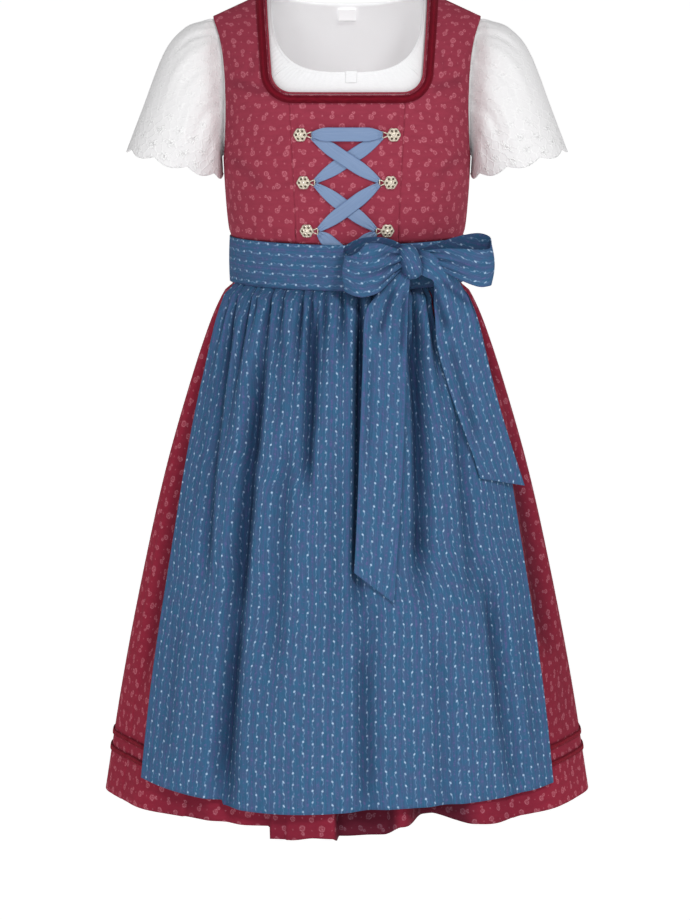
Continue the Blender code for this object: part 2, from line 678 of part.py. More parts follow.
def ribbon_strand(name, start, end, over):
    """A flat length of ribbon from one turn to the next, narrowed at both and humped where it crosses over another."""
    start = Vector(start)
    end = Vector(end)
    along = (end - start).normalized()
    side = Vector((-along.y, along.x))
    base = CLOTH / 2 + TRIM / 2 + LAYER_GAP
    rows = [[], [], []]
    for k in range(RIBBON_STEPS + 1):
        share = k / RIBBON_STEPS
        middle = start.lerp(end, share)
        opened = ease(min(share, 1 - share) / RIBBON_NARROWING)
        half = (RIBBON_TURN_WIDTH + (RIBBON_WIDTH - RIBBON_TURN_WIDTH) * opened) / 2
        lift = base + over * math.exp(-(((share - 0.5) / RIBBON_STEP_LENGTH) ** 2))
        for row, offset in zip(rows, (-half, 0.0, half)):
            spot = middle + side * offset
            row.append(on_front(spot.x, spot.y, lift))
    cloth(name, rows, "ribbon_satin", TRIM)


def lacing_ribbon():
    top, middle, bottom = HOOK_ROWS
    top_x = top.turn_x - 0.001
    top_z = top.z + TURN_TO_STRAND / 4
    below_top = top.z - TURN_TO_STRAND
    above_middle = middle.z + TURN_TO_STRAND * 0.7
    below_middle = middle.z - TURN_TO_STRAND
    above_bottom = bottom.z + TURN_TO_STRAND * 0.7
    strands = (
        ("top", (-top_x, top_z), (top_x, top_z), 0.0),
        ("upper_over", (-top.turn_x, below_top), (middle.turn_x, above_middle), RIBBON_STEP_OVER),
        ("upper_under", (-middle.turn_x, above_middle), (top.turn_x, below_top), 0.0),
        ("lower_over", (-bottom.turn_x, above_bottom), (middle.turn_x, below_middle), RIBBON_STEP_OVER),
        ("lower_under", (-middle.turn_x, below_middle), (bottom.turn_x, above_bottom), 0.0),
    )
    for name, start, end, over in strands:
        ribbon_strand(f"lacing_strand_{name}", start, end, over)
    for side, sign in (("left", -1), ("right", 1)):
        start = (sign * bottom.turn_x, bottom.z - TURN_TO_STRAND / 3)
        end = (sign * (bottom.turn_x - RIBBON_END_INWARDS), BAND_TOP_Z - SEAM_HALF)
        pair = (start, end) if sign < 0 else (end, start)
        ribbon_strand(f"lacing_end_{side}", *pair, 0.0)


# The blouse


def blouse_neck_point(share):
    """The front neck edge, from the centre at 0 to the shoulder at 1, as (x, z)."""
    turn = share * math.pi / 2
    power = 2 / BLOUSE_NECK_SQUARENESS
    x = BLOUSE_NECK_HALF_WIDTH * math.sin(turn) ** power
    top = shoulder_z(BLOUSE_NECK_HALF_WIDTH, BLOUSE_LIFT)
    return x, BLOUSE_NECK_Z + (top - BLOUSE_NECK_Z) * (1 - max(math.cos(turn), 0.0) ** power)


def blouse_outer_edge(share):
    """The front's other edge, as (angle, z): the hem from the centre, the side seam, then the armhole."""
    hem_share = BLOUSE_EDGE_HEM_SHARE
    side_share = BLOUSE_EDGE_SIDE_SHARE
    if share <= hem_share:
        return (math.pi / 2) * share / hem_share, BLOUSE_HEM_Z
    if share <= side_share:
        up = (share - hem_share) / (side_share - hem_share)
        return math.pi / 2, BLOUSE_HEM_Z + up * (BLOUSE_UNDERARM_Z - BLOUSE_HEM_Z)
    up = (share - side_share) / (1 - side_share)
    x_top = ARMHOLE[0].x - BLOUSE_ARMHOLE_IN - BLOUSE_SLEEVE_SEAM
    z_top = shoulder_z(x_top, BLOUSE_LIFT)
    z = BLOUSE_UNDERARM_Z + up * (z_top - BLOUSE_UNDERARM_Z)
    return angle_at(armhole_x(z) - BLOUSE_ARMHOLE_IN - BLOUSE_SLEEVE_SEAM, z, BLOUSE_LIFT), z


def blouse_front():
    """A grid that runs out from the neck edge, gathered there, to hem and armholes."""
    half = BLOUSE_FRONT_COLUMNS // 2
    rows = []
    for away in BLOUSE_FRONT_AWAY:
        row = []
        for k in range(-half, half + 1):
            share = abs(k) / half
            share = 1 - (1 - share) ** 1.5 if share > 0.6 else share
            sign = -1 if k < 0 else 1
            neck_x, neck_z = blouse_neck_point(share)
            start = (angle_at(neck_x, neck_z, BLOUSE_LIFT), neck_z)
            angle, z = between(start, blouse_outer_edge(share), away)
            wave = NECK_GATHER_DEPTH * (1 if k % 2 else -1) * max(0.0, 1 - away * 2)
            wave *= ease((1 - share) / 0.2)
            row.append(torso(sign * angle, z, BLOUSE_LIFT + wave))
        rows.append(row)
    cloth("blouse_front", rows[::-1], "blouse_cotton", FINE_CLOTH)


def blouse_back():
    rows = []
    columns = BLOUSE_BACK_COLUMNS
    for z in (BLOUSE_HEM_Z, BLOUSE_UNDERARM_Z):
        angles = [math.pi / 2 + math.pi * k / columns for k in range(columns + 1)]
        rows.append([torso(angle, z, BLOUSE_LIFT, back=True) for angle in angles])
    x_top = ARMHOLE[0].x - BLOUSE_ARMHOLE_IN - BLOUSE_SLEEVE_SEAM
    z_top = shoulder_z(x_top, BLOUSE_LIFT)
    for share in BLOUSE_BACK_SHARES:
        row = []
        for k in range(columns + 1):
            place = 1 - 2 * k / columns
            top_x = across_back(x_top, z_top, abs(place), BLOUSE_LIFT)
            top = back_top_z(top_x, BLOUSE_BACK_NECK_Z, BLOUSE_NECK_HALF_WIDTH, BLOUSE_LIFT)
            z = BLOUSE_UNDERARM_Z + share * (top - BLOUSE_UNDERARM_Z)
            x = across_back(armhole_x(z) - BLOUSE_ARMHOLE_IN - BLOUSE_SLEEVE_SEAM, z, abs(place), BLOUSE_LIFT)
            row.append(on_back(math.copysign(top_x if share == 1 else x, place), z, BLOUSE_LIFT))
        rows.append(row)
    cloth("blouse_back", rows, "blouse_cotton", FINE_CLOTH)


def sleeve_ring_point(ring, turn):
    middle_x = (ring.top_x + ring.bottom_x) / 2
    middle_z = (ring.top_z + ring.bottom_z) / 2
    reach_x = (ring.top_x - ring.bottom_x) / 2
    reach_z = (ring.top_z - ring.bottom_z) / 2
    x = middle_x + reach_x * math.cos(turn)
    return Vector((x, -ring.half_depth * math.sin(turn), middle_z + reach_z * math.cos(turn)))


def blouse_sleeve():
    """A short wide sleeve from the blouse's armhole to a scalloped hem."""
    turns = [2 * math.pi * k / SLEEVE_COLUMNS for k in range(SLEEVE_COLUMNS)]
    top_z = shoulder_z(ARMHOLE[0].x - BLOUSE_ARMHOLE_IN, BLOUSE_LIFT)
    low_z = BLOUSE_UNDERARM_Z + 0.0015
    cap = []
    for turn in turns:
        z = (top_z + low_z) / 2 + (top_z - low_z) / 2 * math.cos(turn)
        x = armhole_x(z) - BLOUSE_ARMHOLE_IN
        point = on_back(x, z, BLOUSE_LIFT) if math.sin(turn) < 0 else on_front(x, z, BLOUSE_LIFT)
        if abs(math.sin(turn)) < 0.01:
            point.y = 0.0
        cap.append(point)
    rows = [cap, [point + Vector((SLEEVE_OUT_OF_ARMHOLE, 0, 0)) for point in cap]]
    for ring in SLEEVE_RINGS:
        rows.append([sleeve_ring_point(ring, turn) for turn in turns])
    for turn, point in zip(turns, rows[-1]):
        scallop = abs(math.sin((turn - math.radians(SCALLOP_NOTCH_ANGLE)) * SCALLOPS / 2))
        point += Vector(SCALLOP_WAY) * SCALLOP_DEPTH * (scallop - 0.6)
    cloth("blouse_sleeve_right", rows, "blouse_cotton", FINE_CLOTH, closed=True)
    cloth("blouse_sleeve_left", mirrored(rows), "blouse_cotton", FINE_CLOTH, closed=True)


def blouse_label_and_tab():
    width, height = LABEL_SIZE
    lift = BLOUSE_LIFT - FINE_CLOTH / 2 - TRIM / 2 - 2 * LAYER_GAP
    rows = []
    for down in (1.0, 0.5, 0.0):
        z = LABEL_TOP_Z - height * down
        rows.append([on_back(width * (0.5 - k / 4), z, lift) for k in range(5)])
    cloth("blouse_label", rows, "blouse_cotton", TRIM)
    width, height = TAB_SIZE
    lift = BLOUSE_LIFT + NECK_GATHER_DEPTH + FINE_CLOTH / 2 + TRIM / 2
    rows = []
    for down in (1.0, 0.5, 0.0):
        z = BLOUSE_NECK_Z + 0.0015 - height * down
        rows.append([on_front(TAB_X + width * (k / 4 - 0.5), z, lift) for k in range(5)])
    cloth("blouse_tab", rows, "blouse_cotton", TRIM)


# The skirt


def ring_point(angle, half_width, half_depth, out, z):
    """A point on an ellipse round the body, moved out along its normal."""
    across = math.sin(angle)
    forward = -math.cos(angle)
    normal = Vector((across / half_width, forward / half_depth, 0)).normalized()
    return Vector((half_width * across, half_depth * forward, z)) + normal * out


def bump(distance, half_width, edge=1.0):
    """1 in the middle and 0 beyond half_width. A small edge gives steep sides and a flat top."""
    away = abs(distance) / half_width
    return ease((1 - away) / edge) if away < 1 else 0.0


def long_fold_depth(angle, z):
    """How far the folds that apron and skirt share go in."""
    degrees = math.degrees(angle)
    total = 0.0
    for fold in LONG_FOLDS:
        share = (fold.top_z - z) / (fold.top_z - fold.bottom_z)
        if -0.1 < share < 1.15:
            centre = fold.top_angle + (fold.bottom_angle - fold.top_angle) * share
            strength = ease((share + 0.1) / 0.35) * ease((1.15 - share) / 0.3)
            total += fold.depth * strength * bump(degrees - centre, fold.half_width)
    return total


def skirt_hem_z(angle):
    degrees = math.degrees(angle)
    drop = sum(f.drop * bump(degrees - f.centre, f.half_width, f.edge) for f in HEM_FOLDS)
    return SKIRT_HEM_Z - drop


def skirt_out(angle, share, z):
    gather = smooth(SKIRT_ROWS, "gather", share, "share")
    fold = smooth(SKIRT_ROWS, "fold", share, "share")
    turns = angle / (2 * math.pi)
    gather_number = round(turns * SKIRT_GATHERS)
    fold_number = round(turns * SKIRT_FOLDS)
    out = -gather * uneven(gather_number, 0.6, 1.0) * (0.5 - 0.5 * math.cos(SKIRT_GATHERS * angle))
    out -= fold * uneven(fold_number + 5, 0.4, 1.0) * (0.5 - 0.5 * math.cos(SKIRT_FOLDS * angle))
    degrees = math.degrees(angle)
    for hem_fold in HEM_FOLDS:
        strength = ease((share - hem_fold.start) / (HEM_FOLDS_FULL - hem_fold.start))
        out += hem_fold.depth * strength * bump(degrees - hem_fold.centre, hem_fold.half_width, hem_fold.edge)
    return out - long_fold_depth(angle, z)


def skirt_row_point(angle, share):
    z = SKIRT_TOP_Z + share * (skirt_hem_z(angle) - SKIRT_TOP_Z)
    half_width = smooth(SKIRT, "half_width", z)
    half_depth = smooth(SKIRT, "half_depth", z)
    return ring_point(angle, half_width, half_depth, skirt_out(angle, share, z), z)


def skirt_angles(back):
    """The columns of one half, from side seam to side seam."""
    columns = SKIRT_GATHERS * COLUMNS_A_GATHER // 2
    start = math.pi / 2 if back else -math.pi / 2
    return [start + math.pi * k / columns for k in range(columns + 1)]


def wrapped(angle):
    return (angle + math.pi) % (2 * math.pi) - math.pi


def skirt_half(name, back):
    """One half of the skirt, whose first row of points is the hem."""
    rows = []
    for row in reversed(SKIRT_ROWS):
        points = [skirt_row_point(wrapped(a), row.share) for a in skirt_angles(back)]
        for end in (points[0], points[-1]):
            end.y = SIDE_SEAM_HALF if back else -SIDE_SEAM_HALF
        rows.append(points)
    return cloth(name, rows, "dress_cotton")


def hem_bands(half_name, half):
    """Two narrow velvet ribbons round one half's hem, made from its own points and moved out."""
    out = CLOTH / 2 + TRIM / 2 + 2 * LAYER_GAP
    columns = SKIRT_GATHERS * COLUMNS_A_GATHER // 2 + 1
    points = [v.co + v.normal * out for v in half.data.vertices[: 2 * columns]]
    for end in (0, columns - 1, columns, -1):
        points[end].y = math.copysign(SIDE_SEAM_HALF, half.data.vertices[end].co.y)
    for band_name, height in HEM_BAND_HEIGHTS:
        rows = []
        for edge in (-HEM_BAND_WIDTH / 2, HEM_BAND_WIDTH / 2):
            row = []
            for bottom, top in zip(points[:columns], points[columns:]):
                row.append(bottom.lerp(top, (height + edge) / (top - bottom).length))
            rows.append(row)
        cloth(f"hem_velvet_{band_name}_{half_name}", rows, "velvet", TRIM)


def skirt():
    for half_name, back in (("front", False), ("back", True)):
        hem_bands(half_name, skirt_half(f"skirt_{half_name}", back))


# The apron


def apron_front():
    """The apron's panel, gathered into the band."""
    columns = APRON_GATHERS * COLUMNS_AN_APRON_GATHER
    rows = []
    for row in APRON_ROWS:
        points = []
        for k in range(columns + 1):
            across = 2 * k / columns - 1
            rise = APRON_HEM_RISE_LEFT if across < 0 else APRON_HEM_RISE_RIGHT
            hem = APRON_HEM_Z + rise * abs(across) ** 3
            band_angle = math.radians(APRON_EDGES[0].angle) * across
            top = BAND_TOP_Z - band_dip(band_angle) - BAND_WIDTH - LAYER_GAP - SEAM_HALF
            z = top + row.share * (hem - top)
            angle = math.radians(smooth(APRON_EDGES, "angle", z)) * across
            gather_place = APRON_GATHERS * k / columns
            height = row.gather * uneven(round(gather_place), 0.45, 1.0)
            out = APRON_OUT + height * (0.5 + 0.5 * math.cos(2 * math.pi * gather_place))
            low = ease((row.share - APRON_LOW_START) / (APRON_LOW_FULL - APRON_LOW_START))
            over_pleat = bump(math.degrees(angle) - APRON_PLEAT_ANGLE, APRON_PLEAT_HALF_WIDTH)
            out += low * (APRON_LOW_OUT + APRON_PLEAT_OUT * over_pleat)
            out -= long_fold_depth(angle, z)
            half_width = smooth(SKIRT, "half_width", z)
            half_depth = smooth(SKIRT, "half_depth", z)
            points.append(ring_point(angle, half_width, half_depth, out, z))
        rows.append(points)
    cloth("apron_panel", rows[::-1], "apron_cotton")


def band_dip(angle):
    return BAND_FRONT_DIP * max(math.cos(angle), 0.0) ** 2


def band_rows(start, end, columns):
    rows = []
    for level in (1.0, 0.0):
        row = []
        for k in range(columns + 1):
            angle = math.radians(start + (end - start) * k / columns)
            z = BAND_TOP_Z - band_dip(angle) - BAND_WIDTH * level
            row.append(ring_point(angle, BAND_HALF_WIDTH, BAND_HALF_DEPTH, 0.0, z))
        rows.append(row)
    return rows


def apron_band():
    front = band_rows(-BAND_END_ANGLE, BAND_END_ANGLE, BAND_FRONT_COLUMNS)
    cloth("apron_waistband", front, "apron_cotton")
    start = BAND_END_ANGLE + BAND_END_GAP_ANGLE
    cloth("apron_tie_back", band_rows(start, 360 - start, BAND_BACK_COLUMNS), "apron_cotton")


def strip_curve(points, steps):
    """Smooth points along a loop's table."""
    last = len(points) - 1
    path = []
    for k in range(steps + 1):
        at = last * k / steps
        i = min(int(at), last - 1)
        t = at - i
        before, start, end, after = (points[min(max(i + j, 0), last)] for j in (-1, 0, 1, 2))
        value = []
        for a, b, c, d in zip(before, start, end, after):
            value.append(b + 0.5 * t * (c - a + t * (2 * a - 5 * b + 4 * c - d + t * (3 * (b - c) + d - a))))
        path.append(LoopPoint(*value))
    return path


def bow_loop(name, points, most_swell):
    """A loop of the tie: a strip that leaves the knot, turns at its end and comes back in front."""
    path = strip_curve(points, LOOP_STEPS)
    rows = []
    for across in LOOP_LINES:
        row = []
        for k, spot in enumerate(path):
            z = spot.top_z + (spot.bottom_z - spot.top_z) * across
            swell = most_swell * math.sin(math.pi * across) * (1 if k > len(path) / 2 else -0.3)
            row.append(Vector((spot.x, spot.y - swell, z)))
        rows.append(row)
    cloth(name, rows, "apron_cotton")


def bow_knot():
    mesh = bpy.data.meshes.new("bow_knot")
    shape = bmesh.new()
    bmesh.ops.create_uvsphere(shape, u_segments=KNOT_SEGMENTS, v_segments=KNOT_RINGS, radius=1.0)
    for vertex in shape.verts:
        tuck = 1 - KNOT_TUCK * max(-vertex.co.z, 0) ** 2
        vertex.co.x = signed_power(vertex.co.x, KNOT_ROUNDNESS) * KNOT_HALF_SIZE[0] * tuck
        vertex.co.y *= KNOT_HALF_SIZE[1]
        vertex.co.z *= KNOT_HALF_SIZE[2]
    lean = Matrix.Rotation(math.radians(KNOT_LEAN), 4, "Y")
    turn = Matrix.Rotation(math.radians(KNOT_TURN), 4, "Z")
    bmesh.ops.transform(shape, matrix=turn @ lean, verts=shape.verts)
    shape.to_mesh(mesh)
    shape.free()
    knot = add_object("bow_knot", mesh, "apron_cotton")
    knot.location = KNOT_CENTRE


def over_apron_y(x, z, off):
    """The front of the band, or of the apron's outermost gathers under it, at a place, moved forward."""
    top = BAND_TOP_Z - BAND_FRONT_DIP - BAND_WIDTH
    gather = smooth(APRON_ROWS, "gather", (top - z) / (top - APRON_HEM_Z), "share")
    out = CLOTH + LAYER_GAP
    reach = APRON_OUT + gather + out
    half_width = max(smooth(SKIRT, "half_width", z) + reach, BAND_HALF_WIDTH + out)
    half_depth = max(smooth(SKIRT, "half_depth", z) + reach, BAND_HALF_DEPTH + out)
    share = min(abs(x) / half_width, 0.98)
    return -half_depth * math.sqrt(1 - share**2) - off


def bow_tail(name, table, most_slant=None):
    """A hanging end of the tie. most_slant limits how far back its right edge may lie behind its left."""
    last = len(table) - 1
    rows = []
    for k in range(TAIL_STEPS + 1):
        at = last * k / TAIL_STEPS
        i = min(int(at), last - 1)
        row = TailRow(*between(table[i], table[i + 1], at - i))
        left_y = over_apron_y(row.left_x, row.left_z, row.left_off)
        right_y = over_apron_y(row.right_x, row.right_z, row.right_off)
        if most_slant:
            right_y = min(right_y, left_y + most_slant)
        points = []
        for c in range(TAIL_COLUMNS + 1):
            share = c / TAIL_COLUMNS
            x = row.left_x + (row.right_x - row.left_x) * share
            z = row.left_z + (row.right_z - row.left_z) * share
            chord = left_y + (right_y - left_y) * share
            y = min(chord, over_apron_y(x, z, min(row.left_off, row.right_off)))
            points.append(Vector((x, y, z)))
        rows.append(points)
    cloth(name, rows[::-1], "apron_cotton")


def bow():
    bow_loop("bow_loop_left", LEFT_LOOP, LEFT_LOOP_SWELL)
    bow_loop("bow_loop_right", RIGHT_LOOP, RIGHT_LOOP_SWELL)
    bow_knot()
    bow_tail("bow_tail_long", LONG_TAIL)
    bow_tail("bow_tail_short", SHORT_TAIL, SHORT_TAIL_SLANT)


clear_scene()
PARTS = bpy.data.collections.new("Dirndl")
bpy.context.scene.collection.children.link(PARTS)
MATERIALS = {name: make_material(name) for name in FINISHES}

bodice_front_centre()
bodice_side_front()
bodice_back()
neck_velvet()
neck_piping()
lacing_hooks()
lacing_ribbon()
blouse_front()
blouse_back()
blouse_sleeve()
blouse_label_and_tab()
skirt()
apron_front()
apron_band()
bow()
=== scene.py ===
"""A girl's dirndl as it is worn: its printed cloth, velvet, lacing, lace-edged blouse and tied apron.

Metres, +Z up, and the front faces -Y. Left and right are as seen from the front, so right is at +X.
"""

import math
from collections import namedtuple

import bmesh
import bpy
from mathutils import Matrix, Vector


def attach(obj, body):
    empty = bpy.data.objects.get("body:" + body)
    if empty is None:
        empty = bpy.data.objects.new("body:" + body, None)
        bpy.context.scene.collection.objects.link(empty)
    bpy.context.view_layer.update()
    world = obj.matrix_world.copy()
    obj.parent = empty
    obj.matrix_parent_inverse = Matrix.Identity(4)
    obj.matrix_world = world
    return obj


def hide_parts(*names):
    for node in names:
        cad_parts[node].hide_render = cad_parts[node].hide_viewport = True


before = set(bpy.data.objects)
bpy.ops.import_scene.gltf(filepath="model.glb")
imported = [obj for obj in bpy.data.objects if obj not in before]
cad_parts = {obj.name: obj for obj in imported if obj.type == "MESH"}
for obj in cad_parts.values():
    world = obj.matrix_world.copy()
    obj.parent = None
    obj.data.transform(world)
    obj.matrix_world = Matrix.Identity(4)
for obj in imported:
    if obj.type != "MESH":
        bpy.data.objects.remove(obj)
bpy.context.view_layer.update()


# The view, the light and the floor. The garment is seen from a little above, in wide soft light,
# on a plain pale floor.

scene = bpy.context.scene
scene.view_settings.view_transform = "Standard"

camera = bpy.data.objects.new("camera", bpy.data.cameras.new("camera"))
bpy.context.collection.objects.link(camera)
camera.location = (-0.002, -3.6, 0.05)
camera.rotation_euler = (math.radians(90 - 8.187), 0, 0)
camera.data.sensor_fit = "HORIZONTAL"
camera.data.sensor_width = 36
camera.data.lens = 187.83
camera.data.clip_end = 900
scene.camera = camera

FLOOR_Z = -2.4
FLOOR_HALF_SIZE = 400.0

studio = bpy.data.worlds.new("studio")
studio.use_nodes = True
studio.node_tree.nodes["Background"].inputs["Color"].default_value = (1.0, 1.0, 1.0, 1)
studio.node_tree.nodes["Background"].inputs["Strength"].default_value = 0.26
scene.world = studio

Softbox = namedtuple("Softbox", "name strength spread lean turn")
SOFTBOXES = (
    Softbox("upper_light", 1.34, 13.0, 52.0, 24.0),
    Softbox("front_light", 0.92, 26.0, 82.0, -14.0),
)
for box in SOFTBOXES:
    lamp = bpy.data.lights.new(box.name, "SUN")
    lamp.energy = box.strength
    lamp.angle = math.radians(box.spread)
    light = bpy.data.objects.new(box.name, lamp)
    light.rotation_euler = (math.radians(box.lean), 0, math.radians(box.turn))
    bpy.context.collection.objects.link(light)

floor_shape = bmesh.new()
bmesh.ops.create_grid(floor_shape, x_segments=2, y_segments=2, size=FLOOR_HALF_SIZE)
bmesh.ops.translate(floor_shape, vec=(0, 0, FLOOR_Z), verts=floor_shape.verts)
floor = bpy.data.objects.new("floor", bpy.data.meshes.new("floor"))
floor_shape.to_mesh(floor.data)
floor_shape.free()
bpy.context.collection.objects.link(floor)
paper = bpy.data.materials.new("white_paper")
paper.use_nodes = True
paper.node_tree.nodes["Principled BSDF"].inputs["Base Color"].default_value = (0.94, 0.94, 0.94, 1)
paper.node_tree.nodes["Principled BSDF"].inputs["Roughness"].default_value = 0.9
paper.node_tree.nodes["Principled BSDF"].inputs["Emission Color"].default_value = (1.0, 1.0, 1.0, 1)
paper.node_tree.nodes["Principled BSDF"].inputs["Emission Strength"].default_value = 0.50
floor.data.materials.append(paper)


# The bodice. Five panels of red printed cotton: a plastron between two princess seams, two side fronts that
# run up into the shoulder straps, and two back panels that meet in a seam at the centre back.

WAIST_SEAM_Z = -0.2425
NECKLINE_Z = -0.0965
UNDERARM_Z = -0.1655
CLOTH = 0.0014
SEAM_HALF = 0.0001
SEAM_SINK = 0.0009
SEAM_ROUNDING = 0.0016
EDGE_STITCH_IN = 0.0028
SIDE_SEAM_HALF = 0.00015
SHOULDER_SEAM_HALF = 0.0005
SHOULDER_NECK_X = 0.082
SHOULDER_SLOPE = 0.46

TorsoSection = namedtuple("TorsoSection", "z half_width half_depth squareness")
TORSO = [TorsoSection(*row) for row in (
    (0.020, 0.1390, 0.0960, 2.8),
    (-0.024, 0.1360, 0.0960, 2.8),
    (-0.060, 0.1275, 0.0960, 2.8),
    (-0.100, 0.1242, 0.0960, 2.7),
    (-0.130, 0.1232, 0.0960, 2.6),
    (-0.165, 0.1225, 0.0945, 2.4),
    (-0.202, 0.1205, 0.0915, 2.2),
    (-0.232, 0.1176, 0.0882, 2.1),
    (-0.2425, 0.1148, 0.0855, 2.0),
    (-0.262, 0.1148, 0.0855, 2.0),
)]
ShoulderRound = namedtuple("ShoulderRound", "fall power")
FRONT_SHOULDER = ShoulderRound(0.110, 1.7)
BACK_SHOULDER = ShoulderRound(0.190, 1.7)
EdgePoint = namedtuple("EdgePoint", "z x")
ARMHOLE = [EdgePoint(*row) for row in (
    (-0.0236, 0.1325),
    (-0.0425, 0.1255),
    (-0.0670, 0.1212),
    (-0.1000, 0.1192),
    (-0.1300, 0.1195),
    (-0.1500, 0.1207),
    (-0.1655, 0.1225),
)]
PRINCESS_SEAM = [EdgePoint(*row) for row in (
    (-0.0965, 0.0565),
    (-0.1300, 0.0550),
    (-0.1800, 0.0525),
    (-0.2425, 0.0497),
)]
NECK_CORNER_RADIUS = 0.0220
NECK_CORNER_X = 0.0540
BACK_NECK_Z = -0.0300
BACK_NECK_CURVE = 2.6

# The side front's rows run from the princess seam, then the neckline, to the side seam, then the armhole.
SideFrontRow = namedtuple("SideFrontRow", "inner_z outer_z")
SIDE_FRONT_ROWS = [SideFrontRow(*row) for row in (
    (-0.2425, -0.2425),
    (-0.2220, -0.2220),
    (-0.2000, -0.2000),
    (-0.1800, -0.1820),
    (-0.1600, UNDERARM_Z),
    (-0.1400, -0.1590),
    (-0.1180, -0.1490),
    (-0.1045, -0.1370),
    (NECKLINE_Z, -0.1250),
    (-0.0960, -0.1130),
    (-0.0935, -0.1020),
    (-0.0885, -0.0910),
    (-0.0800, -0.0800),
    (-0.0600, -0.0660),
    (-0.0400, -0.0530),
    (-0.0240, -0.0420),
    (-0.0120, -0.0335),
    (-0.0040, -0.0270),
)]

# Creases listed from one end to the other. A trough has a negative depth and a ridge a positive one.
Crease = namedtuple("Crease", "x z to_x to_z half_width depth")
BODICE_CREASES = [Crease(*row) for row in (
    (-0.1185, -0.0850, -0.0780, -0.0940, 0.0078, -0.0019),
    (-0.1180, -0.0960, -0.0880, -0.1010, 0.0050, 0.0008),
    (0.1180, -0.0830, 0.0800, -0.0915, 0.0078, -0.0018),
    (0.1180, -0.0980, 0.0900, -0.1020, 0.0050, 0.0007),
    (-0.1170, -0.1560, -0.0830, -0.1900, 0.0095, -0.0015),
    (-0.1180, -0.1750, -0.0760, -0.2100, 0.0060, 0.0007),
    (0.1170, -0.1530, 0.0860, -0.1830, 0.0095, -0.0013),
    (0.1180, -0.1720, 0.0790, -0.2080, 0.0060, 0.0007),
    (-0.0540, -0.1370, -0.0780, -0.1430, 0.0045, -0.0006),
    (-0.0520, -0.1840, -0.0800, -0.1880, 0.0045, -0.0006),
    (0.0540, -0.1380, 0.0770, -0.1420, 0.0045, -0.0006),
    (0.0520, -0.1830, 0.0780, -0.1900, 0.0045, -0.0006),
    (-0.0950, -0.2420, -0.0900, -0.2250, 0.0035, -0.0008),
    (-0.0700, -0.2420, -0.0720, -0.2280, 0.0030, -0.0006),
    (0.0850, -0.2420, 0.0880, -0.2260, 0.0035, -0.0008),
    (-0.0480, -0.1150, -0.0490, -0.1290, 0.0030, -0.0005),
    (0.0490, -0.1120, 0.0500, -0.1290, 0.0030, -0.0005),
    (-0.0900, -0.0540, -0.0960, -0.0800, 0.0060, -0.0008),
    (0.0910, -0.0500, 0.0970, -0.0780, 0.0060, -0.0008),
)]
# A crease trough this deep gets the full painted shade.
TROUGH_FULLY_SHADED_AT = 0.0070
BACK_CREASES = [Crease(*row) for row in (
    (-0.1150, -0.1500, -0.0700, -0.1820, 0.0080, -0.0014),
    (0.1150, -0.1540, 0.0740, -0.1900, 0.0080, -0.0013),
    (-0.1000, -0.1000, -0.0750, -0.1180, 0.0070, -0.0009),
    (0.0980, -0.0960, 0.0720, -0.1160, 0.0070, -0.0010),
    (-0.0500, -0.2420, -0.0460, -0.2200, 0.0040, -0.0008),
    (0.0620, -0.2420, 0.0600, -0.2220, 0.0040, -0.0008),
)]


def smooth(table, column, at, key="z"):
    """A column of a table read smoothly between rows, which run downwards in z or upwards in another key."""
    sign = -1.0 if key == "z" else 1.0
    places = [sign * getattr(row, key) for row in table]
    values = [getattr(row, column) for row in table]
    at = min(max(sign * at, places[0]), places[-1])
    k = max(i for i in range(len(places) - 1) if places[i] <= at)

    def slope(i):
        low = max(i - 1, 0)
        high = min(i + 1, len(places) - 1)
        return (values[high] - values[low]) / (places[high] - places[low])

    step = places[k + 1] - places[k]
    t = (at - places[k]) / step
    rise = slope(k) * step
    fall = slope(k + 1) * step
    change = values[k + 1] - values[k]
    return values[k] + t * rise + t * t * (3 * change - 2 * rise - fall) + t**3 * (rise + fall - 2 * change)


def ease(t):
    t = min(max(t, 0.0), 1.0)
    return t * t * (3 - 2 * t)


def between(start, end, share):
    return tuple(a + (b - a) * share for a, b in zip(start, end))


def creased(table, x, z):
    """How far the listed creases push the cloth out at a place."""
    total = 0.0
    for c in table:
        run_x = c.to_x - c.x
        run_z = c.to_z - c.z
        share = ((x - c.x) * run_x + (z - c.z) * run_z) / (run_x**2 + run_z**2)
        share = min(max(share, 0.0), 1.0)
        away = math.hypot(x - c.x - run_x * share, z - c.z - run_z * share) / c.half_width
        if away < 1:
            total += c.depth * (1 - away**2) ** 2 * ease(0.15 + 3.5 * min(share, 1 - share))
    return total


def shoulder_z(x, lift=0.0):
    """The shoulder line, which goes on as a smooth rise across the open neck."""
    if abs(x) < SHOULDER_NECK_X:
        return SHOULDER_SLOPE * (SHOULDER_NECK_X**2 - x**2) / (2 * SHOULDER_NECK_X) + lift
    return SHOULDER_SLOPE * (SHOULDER_NECK_X - abs(x)) + lift


def angle_at(x, z, lift=0.0, back=False):
    """The angle round the torso of the point whose distance from the middle is x."""
    half_width = smooth(TORSO, "half_width", z) + lift
    share = min(abs(x) / half_width, 1.0) ** (smooth(TORSO, "squareness", z) / 2)
    angle = math.copysign(math.asin(share), x)
    return math.copysign(math.pi, x) - angle if back else angle


